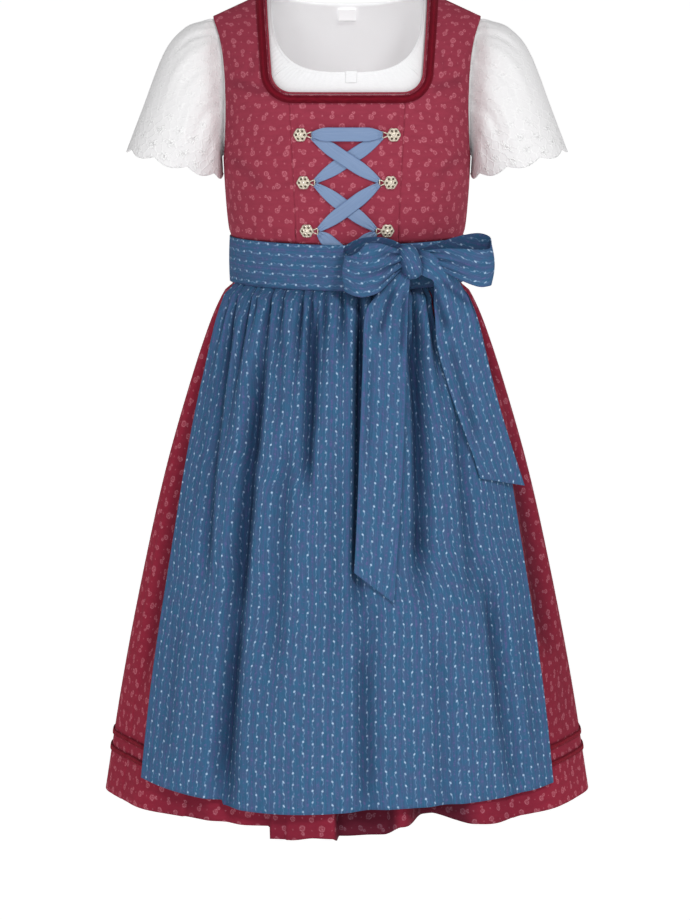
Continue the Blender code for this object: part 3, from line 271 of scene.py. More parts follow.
def torso(angle, z, lift=0.0, back=False):
    """A point of the torso's surface, moved out by lift. It rounds over to the shoulder line at the top."""
    power = 2 / smooth(TORSO, "squareness", z)
    across = math.sin(angle)
    x = (smooth(TORSO, "half_width", z) + lift) * math.copysign(abs(across) ** power, across)
    depth = (smooth(TORSO, "half_depth", z) + lift) * abs(math.cos(angle)) ** power
    top = shoulder_z(x, lift)
    z = min(z, top)
    rounding = BACK_SHOULDER if back else FRONT_SHOULDER
    share = min((top - z) / rounding.fall, 1.0)
    depth *= (1 - (1 - share) ** rounding.power) ** (1 / rounding.power)
    depth = max(depth, SHOULDER_SEAM_HALF if top - z < 0.001 else SIDE_SEAM_HALF)
    return Vector((x, depth if back else -depth, z))


def on_front(x, z, lift=0.0):
    return torso(angle_at(x, z, lift), z, lift)


def on_back(x, z, lift=0.0):
    return torso(angle_at(x, z, lift, back=True), z, lift, back=True)


def armhole_x(z):
    return smooth(ARMHOLE, "x", z)


def neck_edge_x(z):
    """Half the neckline's width at a height: a round corner at the bottom, then a slanting side."""
    centre_z = NECKLINE_Z + NECK_CORNER_RADIUS
    side_x = NECK_CORNER_X + NECK_CORNER_RADIUS
    if z >= centre_z:
        return side_x + (SHOULDER_NECK_X - side_x) * (z - centre_z) / -centre_z
    return NECK_CORNER_X + math.sqrt(max(NECK_CORNER_RADIUS**2 - (z - centre_z) ** 2, 0.0))


def lay_grid(shape, columns, rows, place):
    """Adds a grid to the shape, with place(across, up) as the points. Gives its points by column and row."""
    made = bmesh.ops.create_grid(shape, x_segments=columns, y_segments=rows, size=0.5)["verts"]
    spots = {}
    for vert in made:
        spots[round((vert.co.x + 0.5) * columns), round((vert.co.y + 0.5) * rows)] = vert
    for (c, r), vert in spots.items():
        vert.co = place(c / columns, r / rows)
    return spots


def flat_layout(spots, columns, rows, width, taken_up, from_top):
    """Each point's place on the flat cloth, in metres.

    Where the cloth was cut wider than the form, the gathers in taken_up hide what is spare. Each is given as
    (across, half_width).
    """
    middle = columns // 2

    def hidden(c):
        if not taken_up:
            return c / columns
        return sum(ease(0.5 + (c / columns - at) / (2 * half)) for at, half in taken_up) / len(taken_up)

    shares = [hidden(c) - hidden(middle) for c in range(columns + 1)]
    flat = {}
    for r in range(rows + 1):
        run = [0.0]
        for c in range(columns):
            run.append(run[-1] + (spots[c + 1, r].co - spots[c, r].co).length)
        spare = max(width - run[-1], 0.0) if width else 0.0
        for c in range(columns + 1):
            flat[c, r] = [run[c] - run[middle] + spare * shares[c], 0.0]
    for c in range(columns + 1):
        for r in range(rows):
            flat[c, r + 1][1] = flat[c, r][1] + (spots[c, r + 1].co - spots[c, r].co).length
        if from_top:
            total = flat[c, rows][1]
            for r in range(rows + 1):
                flat[c, r][1] -= total
    return flat


def map_cloth(shape, place_of):
    """Gives each corner of the shape its place on the flat cloth, by place_of(vert)."""
    cloth_map = shape.loops.layers.uv.new("Cloth")
    for face in shape.faces:
        for corner in face.loops:
            corner[cloth_map].uv = place_of(corner.vert)


def smooth_object(name, shape):
    """Turns a finished shape into a smoothly shaded object of the scene."""
    made = bpy.data.objects.new(name, bpy.data.meshes.new(name))
    shape.to_mesh(made.data)
    shape.free()
    made.data.shade_smooth()
    bpy.context.collection.objects.link(made)
    return made


def mirrored(form):
    """The same form on the other side of the body."""

    def other_side(across, up):
        point = form(1 - across, up)
        return Vector((-point.x, point.y, point.z))

    return other_side


def piece_of_cloth(
    name, columns, rows, place, wall=CLOTH, *, width=None, taken_up=(), from_top=False, turned=False,
    joined=False, deep=None,
):
    """A sheet of cloth: a grid laid on its form, with its place on the flat cloth as its map and a thin wall.

    On a turned piece the length of the cloth runs across. deep(across, up) gives a place's painted shade,
    from
    0 to 1, which darkens the cloth's colour.
    """
    shape = bmesh.new()
    depth = shape.verts.layers.float.new("deep") if deep else None
    spots = lay_grid(shape, columns, rows, place)
    # Each point's painted shade, from 0 to 1, kept on the 'deep' layer.
    if deep:
        for (c, r), vert in spots.items():
            vert[depth] = min(max(deep(c / columns, r / rows), 0.0), 1.0)
    flat = flat_layout(spots, columns, rows, width, taken_up, from_top)
    of_vert = {vert: flat[key][::-1] if turned else flat[key] for key, vert in spots.items()}
    map_cloth(shape, of_vert.get)
    if joined:
        ends = [spots[c, r] for c in (0, columns) for r in range(rows + 1)]
        bmesh.ops.remove_doubles(shape, verts=ends, dist=0.00005)
    piece = smooth_object(name, shape)
    edge = piece.modifiers.new("Wall", "SOLIDIFY")
    edge.thickness = wall
    edge.offset = 0.0
    return piece


def wear(piece, cloth, node):
    """Gives a piece its cloth and puts it in the place of its solid."""
    piece.data.materials.append(cloth)
    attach(piece, "root")
    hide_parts(node)


def new_cloth(name, roughness, sheen=0.0, sheen_roughness=0.5):
    """A new material, as its node tree and its shader."""
    cloth = bpy.data.materials.new(name)
    cloth.use_nodes = True
    shader = cloth.node_tree.nodes["Principled BSDF"]
    shader.inputs["Roughness"].default_value = roughness
    shader.inputs["Sheen Weight"].default_value = sheen
    shader.inputs["Sheen Roughness"].default_value = sheen_roughness
    shader.inputs["Specular IOR Level"].default_value = 0.12
    return cloth, cloth.node_tree, shader


class Value:
    """A number, a place or a colour that a node tree works out. A sum with it becomes nodes of that tree."""

    def __init__(self, tree, socket):
        self.tree = tree
        self.socket = socket

    def __add__(self, other):
        return maths("ADD", self, other)

    def __radd__(self, other):
        return maths("ADD", other, self)

    def __sub__(self, other):
        return maths("SUBTRACT", self, other)

    def __rsub__(self, other):
        return maths("SUBTRACT", other, self)

    def __mul__(self, other):
        return maths("MULTIPLY", self, other)

    def __truediv__(self, other):
        return maths("DIVIDE", self, other)

    def __mod__(self, other):
        return maths("FLOORED_MODULO", self, other)

    def __pow__(self, other):
        return maths("POWER", self, other)

    def __abs__(self):
        return maths("ABSOLUTE", self)


def feed(value, socket):
    """Leads a worked-out value to a socket, or sets a plain one there."""
    if isinstance(value, Value):
        value.tree.links.new(value.socket, socket)
    else:
        socket.default_value = value


def maths(operation, *values):
    """One step of a sum, in the tree of the first worked-out value."""
    tree = next(value.tree for value in values if isinstance(value, Value))
    node = tree.nodes.new("ShaderNodeMath")
    node.operation = operation
    for socket, value in zip(node.inputs, values):
        feed(value, socket)
    return Value(tree, node.outputs[0])


def inside(distance, edge, softness):
    """1 where a distance is under the edge, fading to 0 beyond it."""
    node = distance.tree.nodes.new("ShaderNodeMapRange")
    node.interpolation_type = "SMOOTHSTEP"
    feed(distance, node.inputs["Value"])
    node.inputs["From Min"].default_value = edge - softness
    node.inputs["From Max"].default_value = edge + softness
    node.inputs["To Min"].default_value = 1.0
    node.inputs["To Max"].default_value = 0.0
    return Value(distance.tree, node.outputs["Result"])


def from_spot(x, y, spot_x, spot_y):
    """The distance of a place from a spot."""
    return ((x - spot_x) ** 2.0 + (y - spot_y) ** 2.0) ** 0.5


def flat_place(tree):
    """The place on the flat cloth, in metres, as one vector and as its two numbers."""
    node = tree.nodes.new("ShaderNodeUVMap")
    node.uv_map = "Cloth"
    flat = Value(tree, node.outputs["UV"])
    parts = tree.nodes.new("ShaderNodeSeparateXYZ")
    feed(flat, parts.inputs["Vector"])
    return flat, Value(tree, parts.outputs["X"]), Value(tree, parts.outputs["Y"])


def mottle(flat, across, along, detail=2.0):
    """Uneven patches, with so many a metre across and along the cloth."""
    tree = flat.tree
    stretch = tree.nodes.new("ShaderNodeMapping")
    stretch.inputs["Scale"].default_value = (across, along, 1.0)
    feed(flat, stretch.inputs["Vector"])
    patches = tree.nodes.new("ShaderNodeTexNoise")
    patches.inputs["Scale"].default_value = 1.0
    patches.inputs["Detail"].default_value = detail
    tree.links.new(stretch.outputs["Vector"], patches.inputs["Vector"])
    return Value(tree, patches.outputs["Fac"])


def blend(share, first, second, way="MIX"):
    """One colour over another, each worked out or given as red, green and blue."""
    node = share.tree.nodes.new("ShaderNodeMix")
    node.data_type = "RGBA"
    node.blend_type = way
    feed(share, node.inputs["Factor"])
    for socket, colour in ((node.inputs[6], first), (node.inputs[7], second)):
        feed(colour if isinstance(colour, Value) else (*colour, 1), socket)
    return Value(share.tree, node.outputs[2])


def painted(tree, name):
    """A value that the piece's own points carry."""
    node = tree.nodes.new("ShaderNodeAttribute")
    node.attribute_name = name
    return Value(tree, node.outputs["Fac"])


def with_painted_shade(colour, shade):
    """The colour, darkened by painted shade towards the shade colour as far as the points' 'deep' value says.
    """
    return blend(painted(colour.tree, "deep"), colour, shade, "MULTIPLY")


def dyed(red, green, blue):
    """A colour as it is seen, in 0 to 255, as the light it gives back."""
    shares = [c / 255 for c in (red, green, blue)]
    return tuple(c / 12.92 if c < 0.0404 else ((c + 0.055) / 1.055) ** 2.4 for c in shares)


def relief(shader, height, depth):
    tree = height.tree
    bump = tree.nodes.new("ShaderNodeBump")
    bump.inputs["Distance"].default_value = depth
    bump.inputs["Strength"].default_value = 1.0
    feed(height, bump.inputs["Height"])
    tree.links.new(bump.outputs["Normal"], shader.inputs["Normal"])


def repeated(x, y, column_width, step):
    """A repeat in columns set half a step apart: its column and level, and the place from its middle."""
    column = maths("FLOOR", x / column_width)
    odd_column = column % 2.0
    own_x = x - (column + 0.5) * column_width
    moved_y = y + odd_column * (step / 2)
    level = maths("FLOOR", moved_y / step)
    own_y = moved_y - (level + 0.5) * step
    return column, odd_column, level, own_x, own_y


THREAD = 0.00042


def plain_weave(x, y, flat):
    """The height of crossing threads, a little uneven."""
    warp = maths("SINE", x * (2 * math.pi / THREAD))
    weft = maths("SINE", y * (2 * math.pi / THREAD))
    threads = warp * weft
    slubs = mottle(flat, 260, 1500) + mottle(flat, 1500, 260)
    return threads * 0.25 + slubs


# The print: sprigs of a ring, a dot in it and a small loop beside it, in columns set half a step apart.
SPRIG_COLUMN = 0.0096
SPRIG_STEP = 0.0230
RING_SPOT = (-0.0008, -0.0010)
RING_RADIUS = 0.0021
LOOP_SPOT = (0.0022, 0.0026)
LOOP_RADIUS = 0.0011
SPRIG_LINE = 0.00048
HAND_WOBBLE = 0.0028
SPRIG_LARGEST = 0.84
SPRIG_SHRINKS_BY = 0.055


def sprig_print(name, ground, line):
    cloth, tree, shader = new_cloth(name, 0.9)
    flat, x, y = flat_place(tree)
    drawn_x = x + (mottle(flat, 330, 300) - 0.5) * HAND_WOBBLE
    drawn_y = y + (mottle(flat, 270, 360) - 0.5) * HAND_WOBBLE
    column, odd_column, level, own_x, own_y = repeated(drawn_x, drawn_y, SPRIG_COLUMN, SPRIG_STEP)
    turn_x = (level % 2.0) * 2.0 - 1.0
    turn_y = turn_x * (1.0 - odd_column * 2.0)
    chance = (column * 3.0 + level * 5.0) % 7.0
    lean = (chance - 3.0) * 0.26
    cosine = maths("COSINE", lean)
    sine = maths("SINE", lean)
    across = own_x * cosine + own_y * sine
    along = own_y * cosine - own_x * sine
    smaller = SPRIG_LARGEST + chance * SPRIG_SHRINKS_BY
    sprig_x = across * turn_x * smaller
    sprig_y = along * turn_y * smaller
    from_ring = from_spot(sprig_x, sprig_y, *RING_SPOT)
    from_loop = from_spot(sprig_x, sprig_y, *LOOP_SPOT)
    ring = inside(abs(from_ring - RING_RADIUS), SPRIG_LINE, 0.0006)
    filled = inside(maths("MINIMUM", from_ring, from_loop + 0.0008), RING_RADIUS, 0.0006) * 0.32
    curl = inside(from_spot(sprig_x, sprig_y, RING_SPOT[0] + 0.0005, RING_SPOT[1]), 0.0006, 0.0004)
    loop = inside(abs(from_loop - LOOP_RADIUS), SPRIG_LINE, 0.0006)
    dot = inside(from_spot(own_x, abs(own_y), 0.0, SPRIG_STEP / 2), 0.0007, 0.0004)
    drawn = maths("MAXIMUM", maths("MAXIMUM", ring, loop), maths("MAXIMUM", curl, dot * 0.6))
    drawn = maths("MAXIMUM", drawn, filled)
    worn = -0.62 + mottle(flat, 640, 640) * 2.85
    drawn = drawn * worn
    slub = mottle(flat, 60, 240, 3.0) * 0.9
    dyed_ground = blend(slub, tuple(c * 0.84 for c in ground), tuple(c * 1.16 for c in ground))
    # Painted shade: the print is darkened towards (0.31, 0.42, 0.46) as far as the points' 'deep' value says.
    feed(with_painted_shade(blend(drawn, dyed_ground, line), (0.31, 0.42, 0.46)), shader.inputs["Base Color"])
    relief(shader, plain_weave(x, y, flat), 0.00010)
    return cloth


bodice_print = sprig_print("red_sprig_cotton", dyed(145, 53, 71), dyed(191, 108, 122))


def beside_seam(away):
    """How a panel's edge turns in at a princess seam, by the distance from it."""
    return -SEAM_SINK * (1 - ease(away / SEAM_ROUNDING))


def plastron(across, up):
    z = WAIST_SEAM_Z + (NECKLINE_Z - WAIST_SEAM_Z) * up
    half = smooth(PRINCESS_SEAM, "x", z) - SEAM_HALF
    place = 2 * across - 1
    x = half * (place + 0.42 * place * (1 - place**2))
    away = half - abs(x)
    stitched = -0.00035 * math.exp(-(((away - EDGE_STITCH_IN) / 0.0005) ** 2))
    pucker = 0.00022 * math.sin(z * 900 + 5 * math.sin(z * 210)) * (1 - ease(away / 0.006))
    return on_front(x, z, creased(BODICE_CREASES, x, z) + beside_seam(away) + stitched + pucker)


def side_front_right(across, up):
    at = up * len(SIDE_FRONT_ROWS)
    k = min(int(at), len(SIDE_FRONT_ROWS) - 1)
    ends = []
    for row in SIDE_FRONT_ROWS[k : k + 2]:
        on_seam = row.inner_z <= NECKLINE_Z
        inner_x = smooth(PRINCESS_SEAM, "x", row.inner_z) + SEAM_HALF if on_seam else neck_edge_x(row.inner_z)
        outer_angle = math.pi / 2
        if row.outer_z > UNDERARM_Z:
            outer_angle = angle_at(armhole_x(row.outer_z), row.outer_z)
        ends.append((angle_at(inner_x, row.inner_z), row.inner_z, outer_angle, row.outer_z))
    if len(ends) < 2:
        shoulder = [(x, shoulder_z(x)) for x in (SHOULDER_NECK_X, ARMHOLE[0].x)]
        ends.append([value for x, z in shoulder for value in (angle_at(x, z), z)])
    inner_angle, inner_z, outer_angle, outer_z = between(*ends, at - k)
    angle, z = between((inner_angle, inner_z), (outer_angle, outer_z), across)
    flat = torso(angle, z)
    if up > 0.98:
        return flat
    away = flat.x - smooth(PRINCESS_SEAM, "x", z) if z <= NECKLINE_Z else 1.0
    return torso(angle, z, creased(side_creases, flat.x, z) + beside_seam(away))


def across_back(edge_x, z, share, lift=0.0):
    """How far from the middle a place on the back is, from the centre at 0 to the edge at 1."""
    edge = angle_at(edge_x, z, lift, back=True)
    angle = math.pi + (edge - math.pi) * share
    half_width = smooth(TORSO, "half_width", z) + lift
    return half_width * max(math.sin(angle), 0.0) ** (2 / smooth(TORSO, "squareness", z))


def back_top_z(x, neck_z, neck_half_width, lift=0.0):
    """The upper edge of a back panel: the neck curve, then the shoulder seam."""
    if abs(x) >= neck_half_width:
        return shoulder_z(x, lift)
    side = shoulder_z(neck_half_width, lift)
    return neck_z + (side - neck_z) * (abs(x) / neck_half_width) ** BACK_NECK_CURVE


BACK_LOW_SHARE = 0.38


def back_right(across, up):
    """Across runs from the side seam and armhole to the centre back seam."""
    place = 1 - across
    if up <= BACK_LOW_SHARE:
        z = WAIST_SEAM_Z + (UNDERARM_Z - WAIST_SEAM_Z) * up / BACK_LOW_SHARE
        point = torso(math.pi - (math.pi / 2) * place, z, back=True)
        point = torso(math.pi - (math.pi / 2) * place, z, creased(BACK_CREASES, point.x, z), back=True)
    else:
        share = (up - BACK_LOW_SHARE) / (1 - BACK_LOW_SHARE)
        top_x = across_back(ARMHOLE[0].x, ARMHOLE[0].z, place)
        z = UNDERARM_Z + share * (back_top_z(top_x, BACK_NECK_Z, SHOULDER_NECK_X) - UNDERARM_Z)
        x = across_back(armhole_x(z), z, place)
        x += (top_x - x) * ease((share - 0.9) / 0.1)
        point = on_back(x, z, 0.0 if share > 0.97 else creased(BACK_CREASES, x, z))
    if across == 1:
        point.x = SEAM_HALF
    return point


# Painted shade on the plastron: darker in the troughs of its creases.
def plastron_painted_shade(across, up):
    point = plastron(across, up)
    return -creased(BODICE_CREASES, point.x, point.z) / TROUGH_FULLY_SHADED_AT


bodice_front = piece_of_cloth("bodice_plastron", 96, 70, plastron, deep=plastron_painted_shade)
wear(bodice_front, bodice_print, "bodice_front_centre")
SIDES = (("right", side_front_right, back_right), ("left", mirrored(side_front_right), mirrored(back_right)))
for side, form, panel in SIDES:
    side_creases = BODICE_CREASES
    if side == "left":
        side_creases = [c._replace(x=-c.x, to_x=-c.to_x) for c in BODICE_CREASES]

    # Painted shade on a side front: darker in the troughs of its creases.
    def side_front_painted_shade(across, up):
        point = form(across, up)
        return -creased(side_creases, abs(point.x), point.z) / TROUGH_FULLY_SHADED_AT

    front_panel = piece_of_cloth(f"bodice_side_{side}", 64, 90, form, deep=side_front_painted_shade)
    wear(front_panel, bodice_print, f"bodice_side_front_{side}")
    back_panel = piece_of_cloth(f"bodice_back_{side}_panel", 44, 70, panel)
    wear(back_panel, bodice_print, f"bodice_back_{side}")


# The velvet ribbon and the piping round the neck. A 7 mm dark red velvet ribbon is sewn just outside the
# edge, and a fine cord covered in the dress's cotton is sewn into the edge itself.

VELVET_INSET = 0.0010
VELVET_WIDTH = 0.0070
TRIM = 0.0010
LAYER_GAP = 0.0007
PIPING_RADIUS = 0.0011
PIPING_LIFT = 0.0006
PIPING_GAP = 0.0003
CORD_SIDES = 10
CORD_STEPS = 140
CORD_CLOTH = 3


def neckline_point(share, inset):
    """The front neckline from the left shoulder at -1 to the right at 1, as x and z, moved in by inset."""
    corner_z = NECKLINE_Z + NECK_CORNER_RADIUS
    radius = NECK_CORNER_RADIUS + inset
    side_x = NECK_CORNER_X + radius
    top_x = SHOULDER_NECK_X + inset
    bottom = NECK_CORNER_X
    corner = radius * math.pi / 2
    side = shoulder_z(top_x) - corner_z
    run = abs(share) * (bottom + corner + side)
    if run < bottom:
        x, z = run, NECKLINE_Z - inset
    elif run < bottom + corner:
        turn = (run - bottom) / radius
        x, z = NECK_CORNER_X + radius * math.sin(turn), corner_z - radius * math.cos(turn)
    else:
        z = min(run - bottom - corner, side) + corner_z
        x = side_x + (top_x - side_x) * (z - corner_z) / side
    return math.copysign(x, share), z


def back_neck_point(share, inset):
    """The back neckline from side to side, as x and z, moved in by inset."""
    x = SHOULDER_NECK_X * (1 - (1 - abs(share)) ** 1.5)
    across = x / SHOULDER_NECK_X
    z = back_top_z(x, BACK_NECK_Z, SHOULDER_NECK_X) - inset * (1 - across**3)
    x += inset * across
    return math.copysign(x, share), min(z, shoulder_z(x))


velvet_lift = CLOTH / 2 + TRIM / 2 + LAYER_GAP


def neck_velvet_front(across, up):
    x, z = neckline_point(2 * across - 1, VELVET_INSET + VELVET_WIDTH * (1 - up))
    round_over = 0.0003 * math.sin(math.pi * up)
    return on_front(x, z, velvet_lift + round_over)


def neck_velvet_back(across, up):
    x, z = back_neck_point(1 - 2 * across, VELVET_INSET + VELVET_WIDTH * (1 - up))
    return on_back(x, z, velvet_lift + LAYER_GAP * abs(x) / SHOULDER_NECK_X)


def velvet_pile(name, painted_sheen_at):
    cloth, tree, shader = new_cloth(name, 0.95, 0.45, 0.4)
    shader.inputs["Sheen Tint"].default_value = (0.60, 0.06, 0.10, 1)
    flat, x, _ = flat_place(tree)
    # A painted sheen: a lighter band along the ribbon, mixed about half and half with the pile's own uneven
    # tone.
    painted_sheen = inside(abs(x - painted_sheen_at), 0.0004, 0.0022)
    pile_and_painted_sheen = painted_sheen * 0.45 + mottle(flat, 420, 160, 3.0) * 0.55
    feed(blend(pile_and_painted_sheen, dyed(64, 3, 16), dyed(138, 20, 40)), shader.inputs["Base Color"])
    relief(shader, mottle(flat, 2600, 2600, 3.0), 0.0003)
    return cloth


velvet = velvet_pile("dark_red_velvet", 0.0042)
for side, form in (("front", neck_velvet_front), ("back", neck_velvet_back)):
    ribbon = piece_of_cloth(f"neckline_velvet_{side}", 160, 5, form, TRIM, turned=True)
    wear(ribbon, velvet, f"neck_velvet_{side}")


def cord_tube(name, centre, thickness):
    """A round cord along centre(share), closed round and capped."""
    points = [centre(k / CORD_STEPS) for k in range(CORD_STEPS + 1)]

    def round_cord(across, up):
        k = round(up * CORD_STEPS)
        along = (points[min(k + 1, CORD_STEPS)] - points[max(k - 1, 0)]).normalized()
        out = Vector((0, -1, 0)) if abs(along.y) < 0.9 else Vector((0, 0, 1))
        side = along.cross(out).normalized()
        out = side.cross(along)
        turn = 2 * math.pi * across
        return points[k] + (side * math.cos(turn) + out * math.sin(turn)) * thickness

    shape = bmesh.new()
    lay_grid(shape, CORD_SIDES, CORD_STEPS, round_cord)
    map_cloth(shape, lambda vert: (vert.co.x * CORD_CLOTH, vert.co.z * CORD_CLOTH))
    bmesh.ops.remove_doubles(shape, verts=shape.verts, dist=0.00002)
    bmesh.ops.holes_fill(shape, edges=[e for e in shape.edges if e.is_boundary])
    bmesh.ops.recalc_face_normals(shape, faces=shape.faces)
    return smooth_object(name, shape)


piping_out = PIPING_RADIUS + PIPING_GAP
piping_cotton = sprig_print("piping_cotton", dyed(142, 52, 66), dyed(160, 78, 88))


def front_piping_line(share):
    return on_front(*neckline_point(2 * share - 1, -piping_out), PIPING_LIFT)


def back_piping_line(share):
    x, z = back_neck_point((2 * share - 1) * 0.9, 0.0)
    return on_back(x, z + 2 * piping_out, PIPING_LIFT)


for side, line in (("front", front_piping_line), ("back", back_piping_line)):
    cord = cord_tube(f"neckline_piping_{side}", line, PIPING_RADIUS)
    wear(cord, piping_cotton, f"neck_piping_{side}")


# The lacing hooks. Six cast flowers in worn old silver, with six pierced petals round a boss. Each has a
# small three-sided eye towards the middle, over whose bar the ribbon turns, and is sewn to the bodice.

HookRow = namedtuple("HookRow", "z hook_x turn_x")
HOOK_ROWS = [HookRow(*row) for row in (
    (-0.1353, 0.0453, 0.0345),
    (-0.1819, 0.0424, 0.0312),
    (-0.2294, 0.0393, 0.0280),
)]
HOOK_RADIUS = 0.0069
HOOK_PETALS = 6
HOOK_THICKNESS = 0.0018
HOOK_DOME = 0.0012
HOOK_COLUMNS = 120
HOOK_ROUNDS = 28
PETAL_AT = 0.0042
PETAL_RADIUS = 0.0016
BEAD_AT = 0.0058
EYE_START = (0.0052, 0.0007)
EYE_END = (0.0112, 0.0031)
EYE_WIRE = 0.0006


def old_silver(name):
    cloth, tree, shader = new_cloth(name, 0.36)
    shader.inputs["Metallic"].default_value = 0.6
    shader.inputs["Specular IOR Level"].default_value = 0.5
    raised = painted(tree, "raised")
    place = Value(tree, tree.nodes.new("ShaderNodeTexCoord").outputs["Object"])
    tarnish = mottle(place, 900, 900, 3.0)
    shown = raised * (0.72 + tarnish * 0.56)
    feed(blend(shown, dyed(92, 78, 66), dyed(236, 226, 208)), shader.inputs["Base Color"])
    relief(shader, tarnish, 0.0002)
    return cloth


def flower_edge(turn):
    """The flower's radius, which is largest at the tips of the petals."""
    return HOOK_RADIUS * (1 + 0.05 * (math.cos(HOOK_PETALS * turn) - 1))


def flower_height(radius, turn, edge):
    """The height of the casting at a place, and how much it stands out of its hollows."""
    petal = math.radians((math.degrees(turn) + 30) % 60 - 30)
    half_petal = math.pi / HOOK_PETALS
    off_petal = math.hypot(radius * math.cos(petal) - PETAL_AT, radius * math.sin(petal))
    from_bead = half_petal - abs(petal)
    off_bead = math.hypot(radius * math.cos(from_bead) - BEAD_AT, radius * math.sin(from_bead))
    detail = 0.0007 * math.exp(-(((off_petal - PETAL_RADIUS) / 0.00042) ** 2))
    detail += 0.0011 * math.exp(-((radius / 0.0012) ** 2))
    detail += 0.0006 * math.exp(-((off_bead / 0.0006) ** 2))
    detail += 0.0004 * math.exp(-((off_petal / 0.0005) ** 2))
    detail -= 0.0011 * math.exp(-((off_petal / 0.00115) ** 4))
    return HOOK_DOME * (1 - (radius / edge) ** 2) + detail, min(max(0.60 + detail * 750, 0.0), 1.0)


def lacing_hook(name, x, z, inwards):
    lift = CLOTH / 2 + LAYER_GAP
    centre = on_front(x, z, lift)
    across = (on_front(x + 0.003, z, lift) - on_front(x - 0.003, z, lift)).normalized()
    up = (on_front(x, z + 0.003, lift) - on_front(x, z - 0.003, lift)).normalized()
    out = across.cross(up).normalized()
    up = out.cross(across)
    shape = bmesh.new()
    shown = shape.verts.layers.float.new("raised")

    def at(right, above, height):
        return centre + across * right + up * above + out * height

    def petals(round_it, outwards):
        turn = -2 * math.pi * round_it
        edge = flower_edge(turn)
        radius = edge * outwards
        height, _ = flower_height(radius, turn, edge)
        return at(radius * math.cos(turn) * inwards, radius * math.sin(turn), HOOK_THICKNESS * 0.5 + height)

    spots = lay_grid(shape, HOOK_COLUMNS, HOOK_ROUNDS, petals)
    for (c, r), vert in spots.items():
        turn = -2 * math.pi * c / HOOK_COLUMNS
        edge = flower_edge(turn)
        vert[shown] = flower_height(edge * r / HOOK_ROUNDS, turn, edge)[1]
    bmesh.ops.remove_doubles(shape, verts=shape.verts, dist=0.00001)
    bmesh.ops.recalc_face_normals(shape, faces=shape.faces)
    back = bmesh.ops.extrude_edge_only(shape, edges=[e for e in shape.edges if e.is_boundary])
    for item in back["geom"]:
        if isinstance(item, bmesh.types.BMVert):
            item.co -= out * HOOK_THICKNESS * 0.8
    bmesh.ops.holes_fill(shape, edges=[e for e in shape.edges if e.is_boundary])

    def wire(start, end):
        along = Vector((end[0] - start[0], end[1] - start[1], 0)).to_track_quat("Z", "Y")
        middle = Vector((*between(start, end, 0.5), 0))
        rod = bmesh.ops.create_cone(
            shape, cap_ends=True, segments=10, radius1=EYE_WIRE, radius2=EYE_WIRE, depth=math.dist(start, end)
        )
        spots = [(vert, along @ vert.co + middle) for vert in rod["verts"]]
        for vert, spot in spots:
            vert.co = at(spot.x * inwards, spot.y, HOOK_THICKNESS / 2 + spot.z)
            vert[shown] = 0.75
        ball = bmesh.ops.create_icosphere(shape, subdivisions=2, radius=EYE_WIRE * 1.05)
        for vert in ball["verts"]:
            vert.co = at((end[0] + vert.co.x) * inwards, end[1] + vert.co.y, HOOK_THICKNESS / 2 + vert.co.z)
            vert[shown] = 0.75

    for side in (-1, 1):
        wire((EYE_START[0], side * EYE_START[1]), (EYE_END[0], side * EYE_END[1]))
    wire((EYE_END[0], -EYE_END[1]), EYE_END)
    bmesh.ops.recalc_face_normals(shape, faces=shape.faces)
    return smooth_object(name, shape)


silver = old_silver("worn_old_silver")
for number, row in enumerate(HOOK_ROWS, 1):
    for side, inwards in (("left", 1), ("right", -1)):
        hook = lacing_hook(f"flower_hook_{side}_{number}", -inwards * row.hook_x, row.z, inwards)
        wear(hook, silver, f"lacing_hook_{side}_{number}")


# The lacing ribbon. Light blue satin, 13.5 mm wide, which runs flat across the top, crosses over itself twice
# and goes under the apron's band. It is pinched where it turns over the bar of each hook's eye.

RIBBON_WIDTH = 0.0135
RIBBON_TURN_WIDTH = 0.0044
RIBBON_OPENS_OVER = 0.0260
RIBBON_END_OPENS_OVER = 0.0120
RIBBON_STEP_OVER = 0.0022
RIBBON_STEP_LENGTH = 0.20
SATIN = 0.0007
BAND_TOP_Z = -0.2405


def light_satin(name):
    cloth, tree, shader = new_cloth(name, 0.40, 0.15, 0.3)
    shader.inputs["Specular IOR Level"].default_value = 0.35
    shader.inputs["Anisotropic"].default_value = 0.5
    flat, x, y = flat_place(tree)
    # A painted sheen: long streaks of lighter and darker blue along the ribbon.
    sheen = mottle(flat, 30, 900)
    edge = inside(RIBBON_WIDTH / 2 - abs(y - RIBBON_WIDTH / 2), 0.0006, 0.0003)
    ground = blend(sheen, dyed(104, 129, 166), dyed(128, 149, 182))
    feed(blend(edge * 0.5, ground, dyed(86, 110, 160)), shader.inputs["Base Color"])
    ribs = maths("SINE", x * (2 * math.pi / 0.0006))
    relief(shader, ribs * 0.4 + mottle(flat, 90, 1600), 0.00008)
    return cloth


